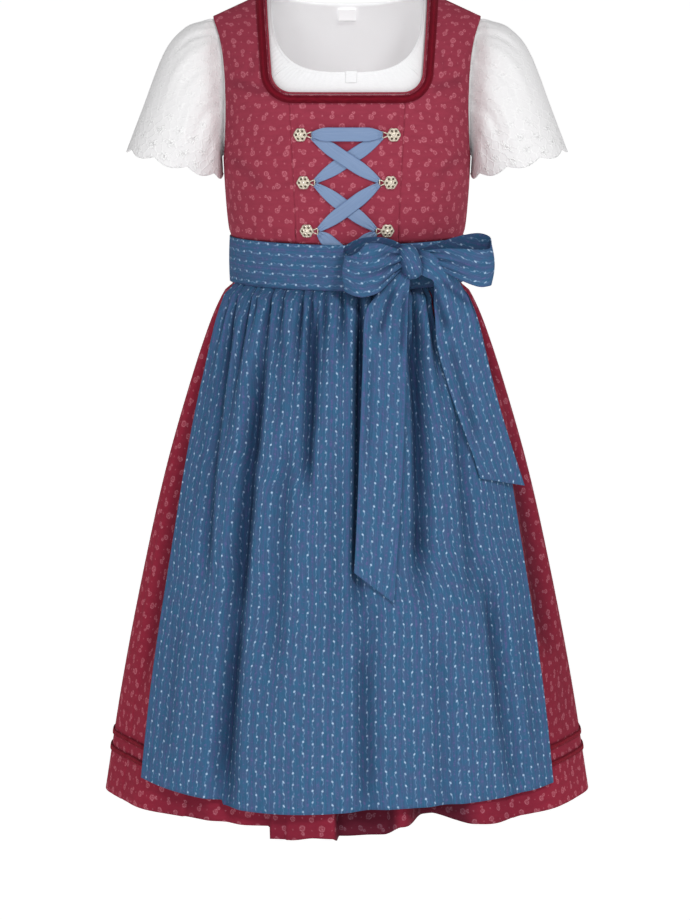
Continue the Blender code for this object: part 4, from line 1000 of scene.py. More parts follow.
def ribbon_strand(name, start, end, over, lift=0.0, opens_over=RIBBON_OPENS_OVER, runs_on=False):
    """A flat length that turns over an eye's bar at each end, or runs on at its full width at its far end."""
    start = Vector(start)
    end = Vector(end)
    length = (end - start).length
    along = (end - start).normalized()
    side = Vector((-along.y, along.x))
    base = CLOTH / 2 + SATIN / 2 + LAYER_GAP

    def strand(across, up):
        middle = start.lerp(end, across)
        from_turn = length * (across if runs_on else min(across, 1 - across))
        opened = 1 - (1 - min(from_turn / opens_over, 1.0)) ** 1.7
        half = (RIBBON_TURN_WIDTH + (RIBBON_WIDTH - RIBBON_TURN_WIDTH) * opened) / 2
        offset = 2 * up - 1
        pinched = 1 - ease(from_turn / 0.015)
        pleats = 0.0004 * pinched * math.cos(offset * 8.5 + (1.2 if across < 0.5 else -0.8))
        over_bar = 0.0013 * math.exp(-(((from_turn - 0.0014) / 0.0022) ** 2))
        over_bar -= 0.0012 * (1 - ease(from_turn / 0.0011))
        crossing = 0.0 if runs_on else over * math.exp(-(((across - 0.5) / RIBBON_STEP_LENGTH) ** 2))
        cupped = 0.0003 * (1 - offset**2) * (1 - pinched)
        spot = middle + side * half * offset
        return on_front(spot.x, spot.y, base + lift + crossing + over_bar + pleats + cupped)

    return piece_of_cloth(name, 64, 20, strand, SATIN)


satin = light_satin("light_blue_satin")
top, middle, bottom = HOOK_ROWS

# Each strand's hook on either side, and how far above that hook's middle it turns there.
Strand = namedtuple("Strand", "name left left_off right right_off over lift opens_over")
LACING = (
    Strand("top", top, 0.0006, top, 0.0006, 0.0, 0.0018, 0.0150),
    Strand("upper_over", top, -0.0014, middle, 0.0016, RIBBON_STEP_OVER, 0.0, RIBBON_OPENS_OVER),
    Strand("upper_under", middle, 0.0016, top, -0.0014, 0.0, 0.0, RIBBON_OPENS_OVER),
    Strand("lower_over", bottom, 0.0014, middle, -0.0016, RIBBON_STEP_OVER, 0.0010, RIBBON_OPENS_OVER),
    Strand("lower_under", middle, -0.0016, bottom, 0.0014, 0.0, 0.0010, RIBBON_OPENS_OVER),
)
for row in LACING:
    start = (-row.left.turn_x, row.left.z + row.left_off)
    end = (row.right.turn_x, row.right.z + row.right_off)
    strand = ribbon_strand(f"satin_{row.name}", start, end, row.over, row.lift, row.opens_over)
    wear(strand, satin, f"lacing_strand_{row.name}")
for side, sign in (("left", -1), ("right", 1)):
    start = (sign * bottom.turn_x, bottom.z - 0.0016)
    end = (sign * (bottom.turn_x - 0.0200), BAND_TOP_Z - 0.0080)
    strand = ribbon_strand(f"satin_end_{side}", start, end, 0.0, 0.0, RIBBON_END_OPENS_OVER, runs_on=True)
    wear(strand, satin, f"lacing_end_{side}")


# The blouse. Fine white cotton under the bodice, gathered into a narrow band round the square neck, with
# short wide sleeves of embroidered cotton that end in scallops. A bare label is sewn inside the back neck.

BLOUSE_LIFT = -0.0040
BLOUSE_HEM_Z = -0.1800
BLOUSE_UNDERARM_Z = -0.1615
BLOUSE_NECK_Z = -0.0750
BLOUSE_NECK_HALF_WIDTH = 0.0735
BLOUSE_NECK_SQUARENESS = 3.1
BLOUSE_BACK_NECK_Z = -0.0110
BLOUSE_ARMHOLE_IN = 0.0024
BLOUSE_SLEEVE_SEAM = 0.0015
BLOUSE_EDGE_HEM_SHARE = 0.36
BLOUSE_EDGE_SIDE_SHARE = 0.42
BLOUSE_BACK_SIDE_SHARE = 0.12
BLOUSE_TOP_X = ARMHOLE[0].x - BLOUSE_ARMHOLE_IN - BLOUSE_SLEEVE_SEAM
FINE_CLOTH = 0.0012
NECK_GATHERS = 58
NECK_GATHER_DEPTH = 0.0002

SLEEVE_OUT_OF_ARMHOLE = 0.0052
SLEEVE_SEAM_SHARE = 0.05
SCALLOPS = 9
SCALLOP_DEPTH = 0.0055
SCALLOPS_FROM = 0.7
SCALLOP_WAY = (0.32, 0.0, -0.95)
SCALLOP_NOTCH_ANGLE = 66.0
SleeveRing = namedtuple("SleeveRing", "top_x top_z bottom_x bottom_z half_depth")
SLEEVE_RINGS = [SleeveRing(*row) for row in (
    (0.1430, -0.0280, 0.1250, -0.1625, 0.0465),
    (0.1610, -0.0350, 0.1248, -0.1680, 0.0520),
    (0.1810, -0.0585, 0.1245, -0.1735, 0.0540),
    (0.2040, -0.1165, 0.1243, -0.1790, 0.0530),
    (0.2190, -0.1550, 0.1245, -0.1815, 0.0500),
)]

# Soft folds of a sleeve, by how far round from its top towards the front, and where each starts and ends.
SleeveFold = namedtuple("SleeveFold", "turn half_width start end depth")
SLEEVE_FOLDS = [SleeveFold(*row) for row in (
    (34, 7, 0.00, 0.62, -0.0016),
    (52, 8, 0.05, 0.80, 0.0012),
    (68, 7, 0.00, 0.70, -0.0018),
    (88, 8, 0.10, 0.95, 0.0012),
    (104, 8, 0.00, 0.80, -0.0020),
    (128, 9, 0.05, 0.90, -0.0012),
    (-30, 8, 0.00, 0.60, -0.0014),
    (-58, 9, 0.00, 0.75, -0.0016),
    (-84, 9, 0.05, 0.90, 0.0012),
    (-106, 9, 0.00, 0.80, -0.0018),
)]


def fine_cotton(name, shade=1.0, painted_glow=0.0):
    cloth, tree, shader = new_cloth(name, 0.9, 0.1)
    # Painted light: a shade above 1 lightens the white, and the emission is a painted glow.
    shader.inputs["Emission Color"].default_value = (1.0, 0.98, 0.99, 1)
    shader.inputs["Emission Strength"].default_value = painted_glow
    flat, x, y = flat_place(tree)
    slubs = mottle(flat, 300, 900)
    low, high = (tuple(c * shade for c in dyed(*seen)) for seen in ((230, 230, 232), (242, 242, 243)))
    feed(blend(slubs, low, high), shader.inputs["Base Color"])
    relief(shader, plain_weave(x, y, flat), 0.00010)
    return cloth


def blouse_neck_point(share):
    """The front neck edge, from the centre at 0 to the shoulder at 1, as (x, z)."""
    turn = share * math.pi / 2
    power = 2 / BLOUSE_NECK_SQUARENESS
    x = BLOUSE_NECK_HALF_WIDTH * math.sin(turn) ** power
    top_z = shoulder_z(BLOUSE_NECK_HALF_WIDTH, BLOUSE_LIFT)
    return x, BLOUSE_NECK_Z + (top_z - BLOUSE_NECK_Z) * (1 - max(math.cos(turn), 0.0) ** power)


def blouse_edge_x(z):
    """Where the blouse's front or back meets its sleeve."""
    return armhole_x(z) - BLOUSE_ARMHOLE_IN - BLOUSE_SLEEVE_SEAM


def blouse_outer_edge(share):
    """The front's other edge, as (angle, z): the hem from the centre, the side seam, then the armhole."""
    if share <= BLOUSE_EDGE_HEM_SHARE:
        return (math.pi / 2) * share / BLOUSE_EDGE_HEM_SHARE, BLOUSE_HEM_Z
    if share <= BLOUSE_EDGE_SIDE_SHARE:
        up = (share - BLOUSE_EDGE_HEM_SHARE) / (BLOUSE_EDGE_SIDE_SHARE - BLOUSE_EDGE_HEM_SHARE)
        return math.pi / 2, BLOUSE_HEM_Z + up * (BLOUSE_UNDERARM_Z - BLOUSE_HEM_Z)
    up = (share - BLOUSE_EDGE_SIDE_SHARE) / (1 - BLOUSE_EDGE_SIDE_SHARE)
    z = BLOUSE_UNDERARM_Z + up * (shoulder_z(BLOUSE_TOP_X, BLOUSE_LIFT) - BLOUSE_UNDERARM_Z)
    return angle_at(blouse_edge_x(z), z, BLOUSE_LIFT), z


def blouse_front(across, up):
    k = 2 * across - 1
    share = abs(k)
    away = (1 - up) ** 1.8
    neck_x, neck_z = blouse_neck_point(share)
    start = (angle_at(neck_x, neck_z, BLOUSE_LIFT), neck_z)
    angle, z = between(start, blouse_outer_edge(share), away)
    turns = 2 * math.pi * NECK_GATHERS * across + 2.2 * math.sin(17 * across) + 1.1 * math.sin(41 * across)
    gather = math.sin(turns)
    wave = NECK_GATHER_DEPTH * (0.5 + 0.5 * gather) ** 1.4 * ease(away / 0.02) * (1 - ease(away / 0.42))
    wave *= ease((1 - share) / 0.16)
    band = 0.0007 * (1 - ease((away - 0.012) / 0.008))
    return torso(math.copysign(angle, k), z, BLOUSE_LIFT + max(wave, band))


def blouse_back(across, up):
    """Across runs from the right side to the left one, seen from behind as left to right."""
    place = 1 - 2 * across
    if up < BLOUSE_BACK_SIDE_SHARE:
        z = BLOUSE_HEM_Z + (BLOUSE_UNDERARM_Z - BLOUSE_HEM_Z) * up / BLOUSE_BACK_SIDE_SHARE
        return torso(math.pi / 2 + math.pi * across, z, BLOUSE_LIFT, back=True)
    share = (up - BLOUSE_BACK_SIDE_SHARE) / (1 - BLOUSE_BACK_SIDE_SHARE)
    top_x = across_back(BLOUSE_TOP_X, shoulder_z(BLOUSE_TOP_X, BLOUSE_LIFT), abs(place), BLOUSE_LIFT)
    top_z = back_top_z(top_x, BLOUSE_BACK_NECK_Z, BLOUSE_NECK_HALF_WIDTH, BLOUSE_LIFT)
    z = BLOUSE_UNDERARM_Z + share * (top_z - BLOUSE_UNDERARM_Z)
    x = across_back(blouse_edge_x(z), z, abs(place), BLOUSE_LIFT)
    x += (top_x - x) * ease((share - 0.9) / 0.1)
    fold = -0.0006 * abs(math.sin(26 * across + 1.4 * math.sin(9 * across))) ** 3
    fold *= ease(share / 0.3) * (1 - ease((share - 0.8) / 0.15))
    return on_back(math.copysign(x, place), z, BLOUSE_LIFT + fold)


def sleeve_ring_point(ring, turn):
    middle_x = (ring.top_x + ring.bottom_x) / 2
    middle_z = (ring.top_z + ring.bottom_z) / 2
    reach_x = (ring.top_x - ring.bottom_x) / 2
    reach_z = (ring.top_z - ring.bottom_z) / 2
    x = middle_x + reach_x * math.cos(turn)
    return Vector((x, -ring.half_depth * math.sin(turn), middle_z + reach_z * math.cos(turn)))


def smooth_run(points, share):
    """A point on a smooth line through the points."""
    last = len(points) - 1
    at = min(max(share, 0.0), 1.0) * last
    i = min(int(at), last - 1)
    t = at - i
    a, b, c, d = (points[min(max(i + j, 0), last)] for j in (-1, 0, 1, 2))
    return b + 0.5 * t * ((c - a) + t * ((2 * a - 5 * b + 4 * c - d) + t * (3 * (b - c) + d - a)))


def sleeve_right(across, up):
    """Across starts at the top and goes round by the back. Up runs from the hem to the armhole."""
    turn = -2 * math.pi * across
    top_z = shoulder_z(ARMHOLE[0].x - BLOUSE_ARMHOLE_IN, BLOUSE_LIFT)
    low_z = BLOUSE_UNDERARM_Z + 0.0015
    z = (top_z + low_z) / 2 + (top_z - low_z) / 2 * math.cos(turn)
    x = armhole_x(z) - BLOUSE_ARMHOLE_IN
    cap = on_back(x, z, BLOUSE_LIFT) if math.sin(turn) < 0 else on_front(x, z, BLOUSE_LIFT)
    if abs(math.sin(turn)) < 0.01:
        cap.y = 0.0
    seam = cap + Vector((SLEEVE_OUT_OF_ARMHOLE, 0, 0))
    rings = [seam] + [sleeve_ring_point(ring, turn) for ring in SLEEVE_RINGS]
    down = 1 - up
    if down < SLEEVE_SEAM_SHARE:
        return cap.lerp(seam, down / SLEEVE_SEAM_SHARE)
    down = (down - SLEEVE_SEAM_SHARE) / (1 - SLEEVE_SEAM_SHARE)
    point = smooth_run(rings, down)
    if down > SCALLOPS_FROM:
        notch = math.radians(SCALLOP_NOTCH_ANGLE)
        scallop = abs(math.sin((turn - notch) * SCALLOPS / 2))
        near_hem = (down - SCALLOPS_FROM) / (1 - SCALLOPS_FROM)
        point += Vector(SCALLOP_WAY) * SCALLOP_DEPTH * (scallop - 0.6) * near_hem**2
    degrees = (-360 * across + 180) % 360 - 180
    out = Vector((0.0, -math.sin(turn), math.cos(turn)))
    gather = 0.0007 * math.sin(46 * turn / 2 + 1.5 * math.sin(3 * turn)) * (1 - ease(down / 0.3))
    push = gather * ease(down / 0.04) * (0.5 + 0.5 * math.cos(turn))
    for fold in SLEEVE_FOLDS:
        away = abs(degrees - fold.turn) / fold.half_width
        if away < 1:
            swell = fold.depth * (1 - away**2) ** 2 * ease((down - fold.start) / 0.12)
            push += swell * ease((fold.end - down) / 0.25)
    return point + out * push


# The sleeves' embroidery, in white on white: flowers in rows over the scallops, and small sprigs above them.
FLOWER_COLUMN = 0.0165
FLOWER_STEP = 0.0150


def embroidered_cotton(name):
    cloth, tree, shader = new_cloth(name, 0.85, 0.15)
    flat, x, y = flat_place(tree)
    wobble = (mottle(flat, 90, 90) - 0.5) * 0.006
    _, _, _, own_x, own_y = repeated(x + wobble, y - wobble, FLOWER_COLUMN, FLOWER_STEP)
    radius = from_spot(own_x, own_y, 0.0, 0.0)
    turn = maths("ARCTAN2", own_y, own_x)
    petals = 0.0040 + maths("COSINE", turn * 5.0) * 0.0013
    flower = inside(radius - petals, 0.0, 0.0011) * inside(mottle(flat, 620, 620), 0.56, 0.12)
    eye = inside(radius, 0.0011, 0.0003)
    tendril_wave = maths("SINE", y * 420.0) * 0.0024
    tendril = inside(abs(abs(own_x) - (0.0060 + tendril_wave)), 0.0005, 0.0010)
    near_hem = inside(y, 0.040, 0.018)
    raised = maths("MAXIMUM", flower, tendril * 0.8) - eye * 0.9
    raised = raised * (0.45 + near_hem * 0.55)
    stitches = raised * (0.7 + mottle(flat, 1800, 500) * 0.6)
    feed(blend(raised, dyed(228, 227, 228), dyed(243, 243, 243)), shader.inputs["Base Color"])
    relief(shader, stitches + mottle(flat, 900, 900) * 0.30, 0.0005)
    return cloth


white_cotton = fine_cotton("fine_white_cotton")
lace_cotton = embroidered_cotton("embroidered_white_cotton")
front = piece_of_cloth("blouse_front_gathered", 340, 26, blouse_front, FINE_CLOTH)
wear(front, white_cotton, "blouse_front")
back = piece_of_cloth("blouse_back_panel", 90, 60, blouse_back, FINE_CLOTH)
# The inside of the back is a lighter copy of the white cotton that also glows: painted light.
wear(back, fine_cotton("inner_white_cotton_painted_light", 1.12, 0.16), "blouse_back")
for side, form in (("left", mirrored(sleeve_right)), ("right", sleeve_right)):
    sleeve = piece_of_cloth(f"puffed_sleeve_{side}", 216, 60, form, FINE_CLOTH, joined=True)
    wear(sleeve, lace_cotton, f"blouse_sleeve_{side}")

LABEL_SIZE = (0.0180, 0.0120)
LABEL_TOP_Z = -0.0165
TAB_SIZE = (0.0110, 0.0115)
TAB_X = 0.0040
TAB_CLOTH = 0.0005


def bare_label(across, up):
    z = LABEL_TOP_Z - LABEL_SIZE[1] * (1 - up)
    lift = BLOUSE_LIFT - FINE_CLOTH / 2 - TRIM / 2 - 2 * LAYER_GAP
    return on_back(LABEL_SIZE[0] * (0.5 - across), z, lift + 0.0003 * math.sin(math.pi * up))


def front_tab(across, up):
    z = BLOUSE_NECK_Z + 0.0015 - TAB_SIZE[1] * (1 - up)
    lift = BLOUSE_LIFT + NECK_GATHER_DEPTH + FINE_CLOTH / 2 + 0.0003
    return on_front(TAB_X + TAB_SIZE[0] * (across - 0.5), z, lift + 0.0003 * math.sin(math.pi * across))


label = piece_of_cloth("bare_neck_label", 18, 12, bare_label, TRIM)
# The label is a lighter copy of the white cotton that also glows: painted light.
wear(label, fine_cotton("label_tape_painted_light", 1.10, 0.30), "blouse_label")
tab = piece_of_cloth("front_neck_tab", 14, 14, front_tab, TAB_CLOTH)
wear(tab, white_cotton, "blouse_tab")


# The skirt. A front and a back length of the same red printed cotton, gathered into the waist seam and
# falling in soft folds. Below the apron its hem shows a box pleat, a shaded inset and a deep valley.

SKIRT_TOP_Z = -0.2429
SKIRT_HEM_Z = -0.802
SkirtSection = namedtuple("SkirtSection", "z half_width half_depth")
SKIRT = [SkirtSection(*row) for row in (
    (-0.2429, 0.1142, 0.0852),
    (-0.2880, 0.1142, 0.0855),
    (-0.2970, 0.1235, 0.0950),
    (-0.3300, 0.1385, 0.1090),
    (-0.4000, 0.1615, 0.1290),
    (-0.4800, 0.1840, 0.1470),
    (-0.5800, 0.2065, 0.1650),
    (-0.6900, 0.2280, 0.1820),
    (-0.8100, 0.2475, 0.1965),
)]
SkirtRow = namedtuple("SkirtRow", "share gather fold")
SKIRT_ROWS = [SkirtRow(*row) for row in (
    (0.000, 0.0010, 0.0000),
    (0.080, 0.0018, 0.0000),
    (0.098, 0.0036, 0.0003),
    (0.145, 0.0050, 0.0012),
    (0.250, 0.0038, 0.0030),
    (0.450, 0.0020, 0.0045),
    (0.680, 0.0009, 0.0060),
    (0.870, 0.0004, 0.0070),
    (1.000, 0.0004, 0.0070),
)]
SKIRT_GATHERS = 26
SKIRT_FOLDS = 13
HEM_FOLDS_FULL = 0.86
HemFold = namedtuple("HemFold", "name centre half_width depth drop left_edge right_edge start")
HEM_FOLDS = [HemFold(*row) for row in (
    ("box pleat", -10.0, 8.05, 0.0070, 0.0078, 0.05, 0.12, 0.50),
    ("box pleat corner", -12.6, 5.5, 0.0000, 0.0030, 0.05, 1.00, 0.50),
    ("shaded inset", 4.9, 7.7, -0.0150, 0.0096, 0.05, 0.45, 0.55),
    ("deep valley", 21.5, 8.6, -0.0340, -0.0040, 0.85, 0.85, 0.55),
    ("soft crest", 36.0, 9.0, 0.0030, 0.0030, 1.0, 1.0, 0.60),
)]
LongFold = namedtuple("LongFold", "top_z bottom_z top_angle bottom_angle half_width depth")
LONG_FOLDS = [LongFold(*row) for row in (
    (-0.330, -0.800, -34.0, -29.3, 5.5, 0.0135),
    (-0.290, -0.470, -13.2, -12.4, 3.0, 0.0110),
    (-0.290, -0.580, 5.0, 2.6, 3.2, 0.0120),
    (-0.300, -0.560, 29.0, 20.0, 4.6, 0.0115),
    (-0.310, -0.560, -53.0, -43.0, 4.2, 0.0085),
    (-0.560, -0.800, 5.5, 4.5, 5.0, 0.0075),
    (-0.540, -0.770, 42.0, 43.0, 5.5, 0.0080),
    (-0.420, -0.640, -20.0, -19.0, 4.6, 0.0060),
    (-0.400, -0.580, 40.0, 36.0, 4.5, 0.0070),
    (-0.600, -0.800, 24.0, 23.0, 4.6, 0.0055),
    (-0.330, -0.660, -73.0, -66.0, 7.5, 0.0090),
    (-0.290, -0.380, 73.0, 73.0, 10.0, 0.0075),
    (-0.440, -0.640, 73.0, 68.0, 11.0, 0.0090),
    (-0.360, -0.620, 108.0, 110.0, 7.0, 0.0060),
    (-0.400, -0.700, -112.0, -114.0, 7.5, 0.0065),
)]
# A long fold this deep gets the full painted shade. The right side of the skirt gets a painted shade too,
# which fades out near the hem.
FOLD_FULLY_SHADED_AT = 0.0115
RIGHT_SIDE_SHADE = 0.30
SHADE_ENDS_AT = 1.05


def uneven(number, low, high):
    """A steady but irregular value for the numbered gather or fold."""
    return low + (high - low) * (0.5 + 0.5 * math.sin(2.4 * number + 1.7 * math.sin(1.3 * number)))


def ring_point(angle, half_width, half_depth, out, z):
    """A point on an ellipse round the body, moved out along its normal."""
    across = math.sin(angle)
    forward = -math.cos(angle)
    normal = Vector((across / half_width, forward / half_depth, 0)).normalized()
    return Vector((half_width * across, half_depth * forward, z)) + normal * out


def bump(distance, half_width, left_edge=1.0, right_edge=1.0):
    """1 in the middle and 0 beyond half_width. A small edge gives a steep side and a flat top."""
    away = abs(distance) / half_width
    return ease((1 - away) / (left_edge if distance < 0 else right_edge)) if away < 1 else 0.0


def long_fold_depth(angle, z):
    """How far the folds that apron and skirt share go in."""
    degrees = math.degrees(angle)
    total = 0.0
    for fold in LONG_FOLDS:
        share = (fold.top_z - z) / (fold.top_z - fold.bottom_z)
        if -0.1 < share < 1.15:
            centre = fold.top_angle + (fold.bottom_angle - fold.top_angle) * share
            strength = ease((share + 0.1) / 0.35) * ease((1.15 - share) / 0.3)
            total += fold.depth * strength * bump(degrees - centre, fold.half_width)
    return total


def skirt_hem_z(angle):
    degrees = math.degrees(angle)
    drop = sum(f.drop * bump(degrees - f.centre, f.half_width, f.left_edge, f.right_edge) for f in HEM_FOLDS)
    return SKIRT_HEM_Z - drop


def skirt_gather(angle, share):
    gather = smooth(SKIRT_ROWS, "gather", share, "share")
    turns = angle / (2 * math.pi)
    pinch = 0.5 - 0.5 * math.cos(SKIRT_GATHERS * angle)
    pinch = pinch**1.6 + 0.18 * pinch * math.sin(3 * SKIRT_GATHERS * angle + 2 * math.sin(5 * angle))
    return gather * uneven(round(turns * SKIRT_GATHERS), 0.6, 1.0) * pinch


def skirt_fold(angle, share):
    fold = smooth(SKIRT_ROWS, "fold", share, "share")
    number = round(angle / (2 * math.pi) * SKIRT_FOLDS) + 5
    return fold * uneven(number, 0.4, 1.0) * (0.5 - 0.5 * math.cos(SKIRT_FOLDS * angle))


def hem_fold_shape(hem_fold, angle, share):
    strength = ease((share - hem_fold.start) / (HEM_FOLDS_FULL - hem_fold.start))
    away = math.degrees(angle) - hem_fold.centre
    return strength * bump(away, hem_fold.half_width, hem_fold.left_edge, hem_fold.right_edge)


def skirt_point(angle, share, lift=0.0):
    z = SKIRT_TOP_Z + share * (skirt_hem_z(angle) - SKIRT_TOP_Z)
    out = sum(f.depth * hem_fold_shape(f, angle, share) for f in HEM_FOLDS)
    out -= skirt_gather(angle, share) + skirt_fold(angle, share) + long_fold_depth(angle, z)
    return ring_point(angle, smooth(SKIRT, "half_width", z), smooth(SKIRT, "half_depth", z), out + lift, z)


def skirt_painted_shade(angle, share):
    """Painted shade on the skirt, from 0 to 1: over the front, at the back, in the long folds at the sides,
    down the right side, in the shaded inset, the deep valley and the flank beside it near the hem, and in the
    gathers and folds.
    """
    degrees = abs(math.degrees(angle))
    before = 1 - ease((degrees - 45) / 20)
    folds = long_fold_depth(angle, SKIRT_TOP_Z + share * (SKIRT_HEM_Z - SKIRT_TOP_Z)) / FOLD_FULLY_SHADED_AT
    total = 0.36 * before + 0.72 * folds * (1 - before) + 0.10 * ease((degrees - 95) / 30)
    if angle > 0:
        side_shade = RIGHT_SIDE_SHADE * (1 - before) * ease((100 - degrees) / 20)
        total += side_shade * ease((SHADE_ENDS_AT - share) / 0.25)
    low = ease((share - 0.55) / 0.30)
    inset, valley = HEM_FOLDS[2:4]
    total += 1.10 * hem_fold_shape(inset, angle, share) + 0.60 * hem_fold_shape(valley, angle, share)
    total += 0.50 * low * bump(math.degrees(angle) - 28.0, 5.0)
    return total + 0.45 * skirt_gather(angle, share) / 0.0060 + 0.22 * skirt_fold(angle, share) / 0.0070


def wrapped(angle):
    return (angle + math.pi) % (2 * math.pi) - math.pi


def skirt_front(across, up):
    angle = math.pi * (across - 0.5)
    point = skirt_point(angle, 1 - up)
    if across in (0.0, 1.0):
        point.y = -SIDE_SEAM_HALF
    return point


def skirt_back(across, up):
    angle = math.pi / 2 + math.pi * across
    point = skirt_point(wrapped(angle), 1 - up)
    if across in (0.0, 1.0):
        point.y = SIDE_SEAM_HALF
    return point


# The painted shade of the front and the back lengths.
def skirt_front_painted_shade(across, up):
    return skirt_painted_shade(math.pi * (across - 0.5), 1 - up)


def skirt_back_painted_shade(across, up):
    return skirt_painted_shade(wrapped(math.pi / 2 + math.pi * across), 1 - up)


skirt_print = sprig_print("skirt_sprig_cotton", dyed(150, 40, 61), dyed(200, 112, 126))
gathers_each = SKIRT_GATHERS // 2
half_gathers = [(k / gathers_each + 0.5 / gathers_each, 0.012) for k in range(gathers_each)]
gathered_in = {"width": 0.72, "taken_up": half_gathers, "from_top": True}
front = piece_of_cloth("skirt_front_length", 360, 96, skirt_front, deep=skirt_front_painted_shade, **gathered_in)
wear(front, skirt_print, "skirt_front")
back = piece_of_cloth("skirt_back_length", 300, 84, skirt_back, deep=skirt_back_painted_shade, **gathered_in)
wear(back, skirt_print, "skirt_back")


# The velvet ribbons round the hem. Two 5 mm ribbons of the same dark red velvet, sewn round the skirt one
# above the other, 45 and 61 mm above the hem.

HEM_BAND_WIDTH = 0.0050
HEM_BANDS = (("lower", 0.0450), ("upper", 0.0615))
SKIRT_SLANT = 0.975


def hem_band(half, height):
    start, sign = (-math.pi / 2, -1) if half == "front" else (math.pi / 2, 1)

    def band(across, up):
        angle = wrapped(start + math.pi * across) if half == "back" else start + math.pi * across
        down = SKIRT_TOP_Z - skirt_hem_z(angle)
        share = 1 - (height + HEM_BAND_WIDTH * (up - 0.5)) * SKIRT_SLANT / down
        point = skirt_point(angle, share, CLOTH / 2 + TRIM / 2 + 0.0005 + 0.0002 * math.sin(math.pi * up))
        if across in (0.0, 1.0):
            point.y = sign * SIDE_SEAM_HALF
        return point

    return band


hem_velvet = velvet_pile("dark_red_hem_velvet", 0.0026)
for height_name, height in HEM_BANDS:
    for half in ("front", "back"):
        name = f"hem_velvet_{height_name}_{half}"
        ribbon = piece_of_cloth(f"{name}_ribbon", 260, 3, hem_band(half, height), TRIM, turned=True)
        wear(ribbon, hem_velvet, name)


# The apron. One panel of blue printed cotton, gathered by hand into the waistband in narrow pinched valleys
# that run out into long soft folds, with a narrow turned hem.

BAND_WIDTH = 0.0450
BAND_FRONT_DIP = 0.0025
ApronEdge = namedtuple("ApronEdge", "z angle")
APRON_EDGES = [ApronEdge(*row) for row in (
    (-0.287, 72.0),
    (-0.306, 65.5),
    (-0.410, 61.5),
    (-0.510, 58.8),
    (-0.650, 57.2),
    (-0.785, 55.5),
)]
ApronRow = namedtuple("ApronRow", "share gather")
APRON_ROWS = [ApronRow(*row) for row in (
    (0.000, 0.0014),
    (0.016, 0.0036),
    (0.038, 0.0058),
    (0.072, 0.0060),
    (0.130, 0.0050),
    (0.240, 0.0034),
    (0.450, 0.0020),
    (0.740, 0.0010),
    (1.000, 0.0010),
)]
APRON_OUT = 0.0036
APRON_TUCK = 0.0016
APRON_TUCK_OUT = 0.0017
APRON_CLOTH = 0.0008
APRON_HEM_Z = -0.7815
APRON_HEM_RISE_LEFT = 0.0120
APRON_HEM_RISE_RIGHT = 0.0070
APRON_HEM_STEP = 0.0046
APRON_HEM_STEP_AT = -0.550
APRON_CREASE_DEEPEST = 0.0022
APRON_LOW_START = 0.45
APRON_LOW_FULL = 0.85
APRON_LOW_OUT = 0.0018
APRON_PLEAT_OUT = 0.0105
APRON_PLEAT_ANGLE = -9.0
APRON_PLEAT_HALF_WIDTH = 26.0

# The valleys between gathers, by place across the panel from -1 to 1, and how far down each shows as a fold.
GatherValley = namedtuple("GatherValley", "across half_width depth reach")
GATHER_VALLEYS = [GatherValley(*row) for row in (
    (-0.930, 0.024, 0.70, 0.16),
    (-0.845, 0.026, 1.00, 0.24),
    (-0.705, 0.028, 1.00, 0.34),
    (-0.645, 0.018, 0.70, 0.10),
    (-0.535, 0.024, 1.00, 0.16),
    (-0.440, 0.026, 0.85, 0.14),
    (-0.300, 0.022, 1.00, 0.20),
    (-0.235, 0.020, 1.00, 0.30),
    (-0.145, 0.026, 0.90, 0.15),
    (-0.030, 0.024, 0.90, 0.14),
    (0.085, 0.024, 1.00, 0.26),
    (0.170, 0.018, 0.75, 0.12),
    (0.265, 0.024, 1.00, 0.22),
    (0.380, 0.028, 0.90, 0.26),
    (0.460, 0.020, 1.00, 0.14),
    (0.560, 0.022, 0.95, 0.22),
    (0.625, 0.040, 1.30, 0.15),
    (0.770, 0.026, 1.00, 0.20),
    (0.865, 0.022, 0.85, 0.16),
    (0.950, 0.018, 0.70, 0.12),
)]

# Soft creases of the panel, in metres across and up.
APRON_CREASES = [Crease(*row) for row in (
    (-0.0840, -0.3450, -0.0900, -0.4600, 0.0110, -0.0032),
    (-0.0900, -0.4600, -0.1060, -0.6000, 0.0100, -0.0026),
    (-0.1060, -0.6000, -0.1270, -0.7700, 0.0110, -0.0030),
    (-0.0980, -0.4300, -0.1210, -0.6400, 0.0120, 0.0016),
    (-0.0250, -0.3350, -0.0320, -0.4300, 0.0080, -0.0024),
    (-0.0600, -0.3200, -0.0680, -0.4200, 0.0090, -0.0022),
    (-0.1250, -0.3500, -0.1480, -0.5200, 0.0100, -0.0018),
    (-0.0460, -0.4700, -0.0560, -0.7000, 0.0150, 0.0016),
    (-0.0080, -0.4200, -0.0140, -0.6600, 0.0140, -0.0014),
    (0.0140, -0.6200, 0.0190, -0.7750, 0.0110, -0.0030),
    (0.0640, -0.3050, 0.0690, -0.4900, 0.0090, -0.0030),
    (0.0720, -0.5000, 0.0740, -0.6200, 0.0100, -0.0016),
    (0.0900, -0.4500, 0.1010, -0.7000, 0.0150, 0.0016),
    (0.1420, -0.5800, 0.1500, -0.7300, 0.0110, -0.0030),
    (0.1180, -0.5000, 0.1260, -0.6900, 0.0120, 0.0014),
    (0.1700, -0.6000, 0.1850, -0.7600, 0.0100, -0.0016),
    (-0.1620, -0.6000, -0.1780, -0.7550, 0.0110, -0.0018),
)]


def band_dip(angle):
    return BAND_FRONT_DIP * max(math.cos(angle), 0.0) ** 2


